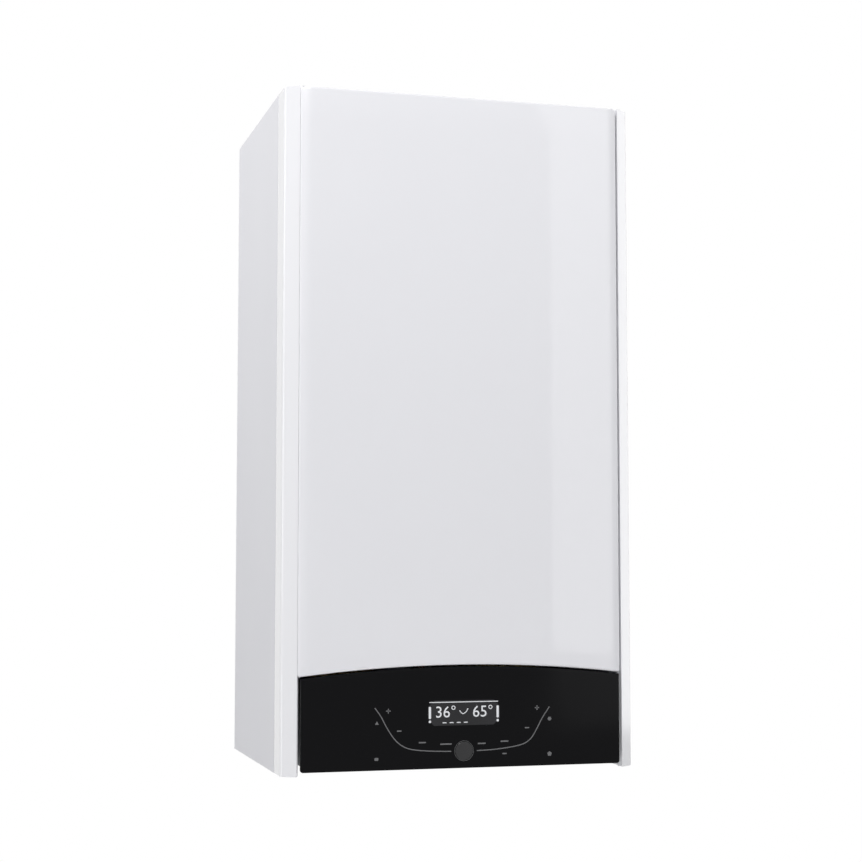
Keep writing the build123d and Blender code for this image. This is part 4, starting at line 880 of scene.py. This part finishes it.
class BOILER_OT_control(bpy.types.Operator):
    """Control box, its boards, the glass, the key and the print on the glass"""

    bl_idname = "boiler.control"
    bl_label = "Control panel"

    def execute(self, context):
        sizes = context.scene.boiler_print
        dress_all((0.0006, "control_box"), (0.0005, "control_lid"))
        dressed("fascia", 0.0005, segments=3)
        dress_all((0.0003, "display_module circuit_board"))
        dressed("push_key", 0.0005, segments=3)
        foot, head = 1000 * sizes.window_low, 1000 * sizes.window_high
        window = block_mark(0, (foot + head) / 2, 2000 * sizes.window_half, head - foot)
        printed("display_window", [window], PRINT_LIFT, 0.00012)
        line = 1000 * sizes.line
        marks = ribbon(LEFT_GUIDE, line) + ribbon(RIGHT_GUIDE, line)
        for x, z, wide, tall in PLUSES:
            marks += [block_mark(x, z, wide, tall), block_mark(x, z, tall, wide)]
        marks += [block_mark(*mark) for mark in MINUSES]
        marks += [dot_mark(*mark) for mark in TOUCH_DOTS]
        marks += [block_mark(*mark) for mark in (TOUCH_BLOCK, *DASHES, LOW_DASH)]
        printed("guide_marks", marks, PRINT_LIFT, 0.00012, "print_grey")
        lit = [block_mark(*mark) for mark in LIT_BARS + LIT_DASHES] + ribbon(CHECK_LINE, 0.9)
        printed("display_bars", lit, PRINT_LIFT + 0.00008, 0.0001, "print_white")
        for name, words, x in FIGURES:
            figures(name, words, x, FIGURE_LEVEL, sizes.digit, PRINT_LIFT + 0.0001)
        low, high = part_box("push_key")
        key = [(0, GLASS - 0.0001, (low.z + high.z) / 2)]
        backward, body = (0, 1, 0), "control_panel"
        rings("key_ring", key, backward, KEY_RING, 0.0002, "display", body, 64, "print_grey")
        lid = grid(pair(0, 0.16), (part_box("control_lid")[1].y,), (up(16), up(94)))
        screws("lid_screws", "lid", lid, backward, body=body)
        return {"FINISHED"}


# ---- Combustion side ----
VALVE_FACE = 0.026  # the gas valve's plate, behind its front
FAN_LEVEL = 350  # the fan's middle, in millimetres above the casing's foot
SCROLL_RING, MOTOR_RING = 0.0545, 0.0425  # radii of the fan's rings of screws
AIR_BORE, FLUE_BORE = 0.0485, 0.0302  # radii inside the two flue sockets
SEAL_LEVELS = (0.005, 0.009, 0.013)  # below the collar's top


def on_circle(centre, radius, degrees):
    """Places on an upright circle that faces the front."""
    turns = [math.radians(a) for a in degrees]
    x, y, z = centre
    return [(x + radius * math.cos(a), y, z + radius * math.sin(a)) for a in turns]


class BOILER_OT_combustion(bpy.types.Operator):
    """Heat exchanger, burner door, fan, gas train, silencer and flue"""

    bl_idname = "boiler.combustion"
    bl_label = "Combustion"

    def execute(self, context):
        dress_all(
            (0.0010, "exchanger_housing burner_door fan_housing gas_valve"),
            (0.0006, "exchanger_coil burner_tube exchanger_bracket door_nuts"),
            (0.0005, "electrodes fan_wheel mixer gas_pipes flue_caps"),
            (0.0012, "fan_motor air_silencer"),
        )
        low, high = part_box("gas_valve")
        face = low.y + VALVE_FACE
        lugs = grid((low.x + 0.013, high.x - 0.013), (face,), (low.z + 0.006, high.z - 0.006))
        screws("valve_screws", "valve", lugs, FORWARD)
        level = high.z - 0.016
        taps = [(low.x + 0.023, face - 0.010, level), (high.x - 0.023, face - 0.008, level)]
        screws("valve_taps", "tap", taps, FORWARD, "brass")
        low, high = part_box("fan_motor")
        x, z = (low.x + high.x) / 2, up(FAN_LEVEL)
        rim = on_circle((x, high.y, z), SCROLL_RING, (0, 60, 180, 240, 300))
        screws("fan_screws", "fan", rim, FORWARD)
        lugs = on_circle((x, high.y - 0.004, z), MOTOR_RING, (30, 150))
        screws("motor_screws", "valve", lugs, FORWARD)
        dress_all((0.0005, "flue_collar"))
        low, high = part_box("flue_collar")
        x, y, top = 0.0, (low.y + high.y) / 2, high.z
        lip, seal = 0.0008, 0.0006
        edge = [(x, y, top - 1.5 * lip)]
        rings("flue_lip", edge, UPWARD, AIR_BORE + lip, lip, "flue_white", sides=96)
        seals = [(x, y, top - down) for down in SEAL_LEVELS]
        rings("socket_seal", seals, UPWARD, FLUE_BORE + 0.0001, seal, "rubber_black", sides=80)
        inset, plate = 0.009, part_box("top_panel")[1].z + 0.003
        holes = grid((low.x + inset, high.x - inset), (high.y - inset,), (plate,))
        screws("collar_screws", "casing", holes, UPWARD)
        return {"FINISHED"}


# ---- Water side ----
TAIL_DEPTH = -0.12  # the connections' row, from the wall
TANK_CORNER = 0.034  # radius of the expansion vessel's corners
TANK_EDGE = 0.014  # radius round its pressed faces
TANK_SEAM = 0.004  # how far its seam stands out
TANK_DISH = 0.0016  # how deep its faces are dished
TANK_FOOT, PORT_TOP = 262, 272  # in millimetres above the casing's foot
FLUTES = 10  # on each knob
TAILS = {  # places across the casing, and the radius of the threads
    "heating": ((-0.13, 0.0, 0.13), 0.0129),
    "water": ((-0.065, 0.065), 0.0102),
}


def pressed_tank(x, y, z):
    """Two dished halves that meet in a proud seam; x, y and z are pairs of limits."""
    corner, edge, seam = TANK_CORNER, TANK_EDGE, TANK_SEAM
    half = (x[1] - x[0]) / 2
    profile = [(1.3 * corner, half - TANK_DISH), (corner, half - TANK_DISH), (0.85 * corner, half)]
    for a in even(0, QUARTER, 8):
        profile.append((edge * (1 - math.sin(a)), half - edge * (1 - math.cos(a))))
    profile += [(0, 0.45 * seam), (-0.85 * seam, 0.36 * seam), (-seam, 0.2 * seam)]
    profile += [(inset, -out) for inset, out in reversed(profile)]
    middle = Vector((sum(x), sum(y), sum(z))) / 2
    verts, rows = [], []
    for inset, out in profile:
        start = len(verts)
        radius = max(corner - inset, 0.25 * corner)
        wide = (y[1] - y[0]) / 2 - inset - radius
        tall = (z[1] - z[0]) / 2 - inset - radius
        for turn, (side, end) in enumerate(((1, 1), (-1, 1), (-1, -1), (1, -1))):
            for a in even(turn * QUARTER, (turn + 1) * QUARTER, 8):
                across = side * wide + radius * math.cos(a)
                above = end * tall + radius * math.sin(a)
                verts.append(middle + Vector((out, across, above)))
        rows.append(list(range(start, len(verts))))
    return closed_mesh(verts, rows)


class BOILER_OT_water(bpy.types.Operator):
    """Expansion vessel, pipes, water blocks, pump, diverter and valves"""

    bl_idname = "boiler.water"
    bl_label = "Water side"

    def execute(self, context):
        low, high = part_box("expansion_vessel")
        depth = (low.y + TANK_SEAM, high.y - TANK_SEAM)
        tank = pressed_tank((low.x, high.x), depth, (up(TANK_FOOT), high.z - TANK_SEAM))
        remade("expansion_vessel", tank, sharp=28)
        port = up(PORT_TOP) - low.z
        nut = [(0, 0), (0, 0.0078), (0.0010, 0.009), (0.0100, 0.009), (0.0110, 0.0078)]
        nut += [(0.0112, 0.0066), (port, 0.0066), (port, 0)]
        profile = [(along, radius, 0) for along, radius in nut]
        centre = ((low.x + high.x) / 2, TAIL_DEPTH, low.z)
        hexagon = turned(profile, centre, UPWARD, 6)
        piece("vessel_port", hexagon, "brass", "chassis", sharp=30)
        dress_all(
            (0.0014, "flow_block return_block pump_body pump_motor"),
            (0.0008, "plate_exchanger diverter_actuator"),
        )
        low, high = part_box("relief_knob")
        centre = ((low.x + high.x) / 2, high.y, (low.z + high.z) / 2)
        deep = high.y - low.y
        profile = [(0, 0.0128, 0), (0.0008, 0.0138, 0.0004), (0.004, 0.0156, 0.0020)]
        profile += [(deep - 0.003, 0.0158, 0.0022), (deep - 0.0008, 0.0146, 0.0016)]
        profile += [(deep, 0.0134, 0.0010), (deep, 0.0100, 0), (deep - 0.0008, 0.0096, 0)]
        remade("relief_knob", turned(profile, centre, FORWARD, FLUTES * 8, FLUTES))
        low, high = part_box("filling_knob")
        centre = ((low.x + high.x) / 2, (low.y + high.y) / 2, low.z)
        profile = [(0.0006, 0.0080, 0), (0, 0.0084, 0), (0, 0.0108, 0.0006)]
        profile += [(0.001, 0.0118, 0.0014), (0.0135, 0.0120, 0.0016), (0.015, 0.0110, 0.0008)]
        profile += [(0.0152, 0.0070, 0), (high.z - low.z, 0.0068, 0)]
        remade("filling_knob", turned(profile, centre, UPWARD, FLUTES * 8, FLUTES))
        low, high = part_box("pump_motor")
        x, z = (low.x + high.x) / 2, (low.z + high.z) / 2
        reach = (high.x - low.x) / 2 - 0.0062
        flange = grid(pair(x, reach), (high.y - 0.007,), pair(z, reach))
        screws("pump_screws", "pump", flange, FORWARD)
        cover = grid(pair(x, 0.026), (low.y,), pair(z, 0.020))
        screws("terminal_screws", "terminal", cover, FORWARD)
        dress_all((0.0005, "vessel_hose flow_pipe return_pipe pump_rotor air_vent diverter_rod"))
        dress_all((0.0005, "relief_valve sensors"))
        return {"FINISHED"}


class BOILER_OT_connections(bpy.types.Operator):
    """Pipe tails with their threads, condensate trap and hose, cable gland"""

    bl_idname = "boiler.connections"
    bl_label = "Connections"

    def execute(self, context):
        sizes = context.scene.boiler_pipes
        dress_all(
            (0.0005, "connection_tails"),
            (0.0008, "condensate_trap"),
            (0.0005, "condensate_hose"),
            (0.0006, "cable_gland"),
        )
        start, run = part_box("connection_tails")[0].z + 0.002, 0.020
        levels = [start + n * sizes.pitch for n in range(int(run / sizes.pitch))]
        for label, (xs, radius) in TAILS.items():
            places = grid(xs, (TAIL_DEPTH,), levels)
            rings(f"{label}_threads", places, UPWARD, radius, 0.00055, "brass")
        low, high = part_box("condensate_hose")
        x, y = (low.x + high.x) / 2, (low.y + high.y) / 2
        count = int((high.z - low.z - 0.02) / sizes.fold)
        folds = [(x, y, low.z + 0.012 + n * sizes.fold) for n in range(count)]
        rings("hose_folds", folds, UPWARD, 0.0118, 0.0016, "rubber_black")
        return {"FINISHED"}


# ---- Stage ----
CAMERA_PLACE = (-0.5502, -2.1501, up(223.4))
CAMERA_TURN = (math.radians(94.395), 0, math.radians(-15.595))
CAMERA_LENS = 73.06  # in millimetres, on a sensor 36 wide
FLOOR_REACH = 6.0
LAMPS = {  # place, aim, width and height
    "key": ((-0.9, -2.3, 1.7), (0, -0.3, up(350)), 1.4, 1.0),
    "wash": ((-1.3, 0.1, 1.1), (-0.2, -0.15, up(600)), 0.8, 0.8),
    "edge": ((-1.7, -0.1, -0.15), (-0.2, -0.3, -0.15), 0.3, 1.9),
    "card": ((1.706, -3.0, 0.2), (1.706, -0.3, 0.2), 1.3, 2.2),
    "lift": ((-0.1, -0.75, -1.9), (-0.02, -0.31, -0.58), 1.2, 0.5),
    "rim": ((2.1, 0.05, 0.15), (0.2, -0.35, -0.1), 1.2, 2.0),
}


def background(graph, lit, white):
    """lit for the light itself, white for what the camera, mirrors and glass see."""
    path = graph.node("ShaderNodeLightPath")
    rays = ("Is Camera Ray", "Is Glossy Ray", "Is Transmission Ray")
    camera, mirror, glass = (Wire(graph, path.outputs[ray]) for ray in rays)
    return graph.add("ShaderNodeMixShader", None, camera.most(mirror).most(glass), lit, white)


def room_light(strength):
    """A dim, faintly cool world that looks white."""
    room = bpy.data.worlds.new("room")
    sky = Graph(cleared(room))
    lit = sky.add("ShaderNodeBackground", color=(0.96, 0.97, 1.0, 1), strength=strength)
    white = sky.add("ShaderNodeBackground", color=(1, 1, 1, 1), strength=1.0)
    sky.node("ShaderNodeOutputWorld", surface=background(sky, lit, white))
    return room


def paper():
    """Matt white paper that keeps the shadow."""
    made = bpy.data.materials.new("paper")
    sheet = Graph(cleared(made))
    tone = sheet.add("ShaderNodeTexNoise", scale=3.0, detail=2.0)
    shade = sheet.add("ShaderNodeMapRange", None, tone, 0.0, 1.0, 0.90, 0.94)
    grey = sheet.add("ShaderNodeCombineColor", None, shade, shade, shade)
    matt = sheet.add("ShaderNodeBsdfDiffuse", color=grey)
    glow = sheet.add("ShaderNodeEmission", color=(1, 1, 1, 1), strength=1.0)
    pale = sheet.add("ShaderNodeMixShader", None, 0.86, matt, glow)
    sheet.node("ShaderNodeOutputMaterial", surface=background(sheet, matt, pale))
    return made


class BOILER_OT_stage(bpy.types.Operator):
    """Camera, floor, lamps and surroundings"""

    bl_idname = "boiler.stage"
    bl_label = "Stage"

    def execute(self, context):
        scene = context.scene
        stage = scene.boiler_stage
        scene.view_settings.view_transform = "Standard"
        optics = bpy.data.cameras.new("camera")
        fitted(optics, lens=CAMERA_LENS, sensor_width=36.0, clip_end=100)
        camera = shown("camera", optics)
        scene.camera = fitted(camera, location=CAMERA_PLACE, rotation_euler=CAMERA_TURN)
        scene.world = room_light(stage.ambient)

        level = FOOT - stage.floor
        ends = ((-1, -1), (1, -1), (1, 1), (-1, 1))
        plane = mesh_of([(x * FLOOR_REACH, y * FLOOR_REACH, level) for x, y in ends], [range(4)])
        plane.materials.append(paper())
        shown("floor", plane)

        for name, (place, aim, wide, tall) in LAMPS.items():
            lamp = bpy.data.lights.new(name, "AREA")
            energy = getattr(stage, name)
            fitted(lamp, shape="RECTANGLE", size=wide, size_y=tall, energy=energy)
            turn = (Vector(aim) - Vector(place)).to_track_quat("-Z", "Y").to_euler()
            fitted(shown(name, lamp), location=place, rotation_euler=turn)
        return {"FINISHED"}


# ---- Add-on ----
OPERATORS = (
    BOILER_OT_cover,
    BOILER_OT_casing,
    BOILER_OT_control,
    BOILER_OT_combustion,
    BOILER_OT_water,
    BOILER_OT_connections,
    BOILER_OT_stage,
)
GROUPS = {
    "boiler_cover": BoilerCoverSizes,
    "boiler_print": BoilerPrintSizes,
    "boiler_pipes": BoilerPipeSizes,
    "boiler_colours": BoilerColours,
    "boiler_stage": BoilerStage,
}


class BOILER_PT_sidebar(bpy.types.Panel):
    """Lists the piece groups and their sizes"""

    bl_idname = "BOILER_PT_sidebar"
    bl_label = "Combi boiler"
    bl_space_type = "VIEW_3D"
    bl_region_type = "UI"
    bl_category = "Boiler"

    def draw(self, context):
        for operator in OPERATORS:
            self.layout.operator(operator.bl_idname)
        for label in GROUPS:
            group = getattr(context.scene, label)
            box = self.layout.box()
            for prop in group.bl_rna.properties:
                if prop.identifier not in ("rna_type", "name"):
                    box.prop(group, prop.identifier)


def register():
    for kind in (*GROUPS.values(), *OPERATORS, BOILER_PT_sidebar):
        bpy.utils.register_class(kind)
    for label, kind in GROUPS.items():
        setattr(bpy.types.Scene, label, bpy.props.PointerProperty(type=kind))


def unregister():
    for label in GROUPS:
        delattr(bpy.types.Scene, label)
    for kind in (BOILER_PT_sidebar, *reversed(OPERATORS), *reversed(list(GROUPS.values()))):
        bpy.utils.unregister_class(kind)


def main():
    register()
    for operator in OPERATORS:
        group, action = operator.bl_idname.split(".")
        getattr(getattr(bpy.ops, group), action)()


if __name__ == "__main__":
    main()
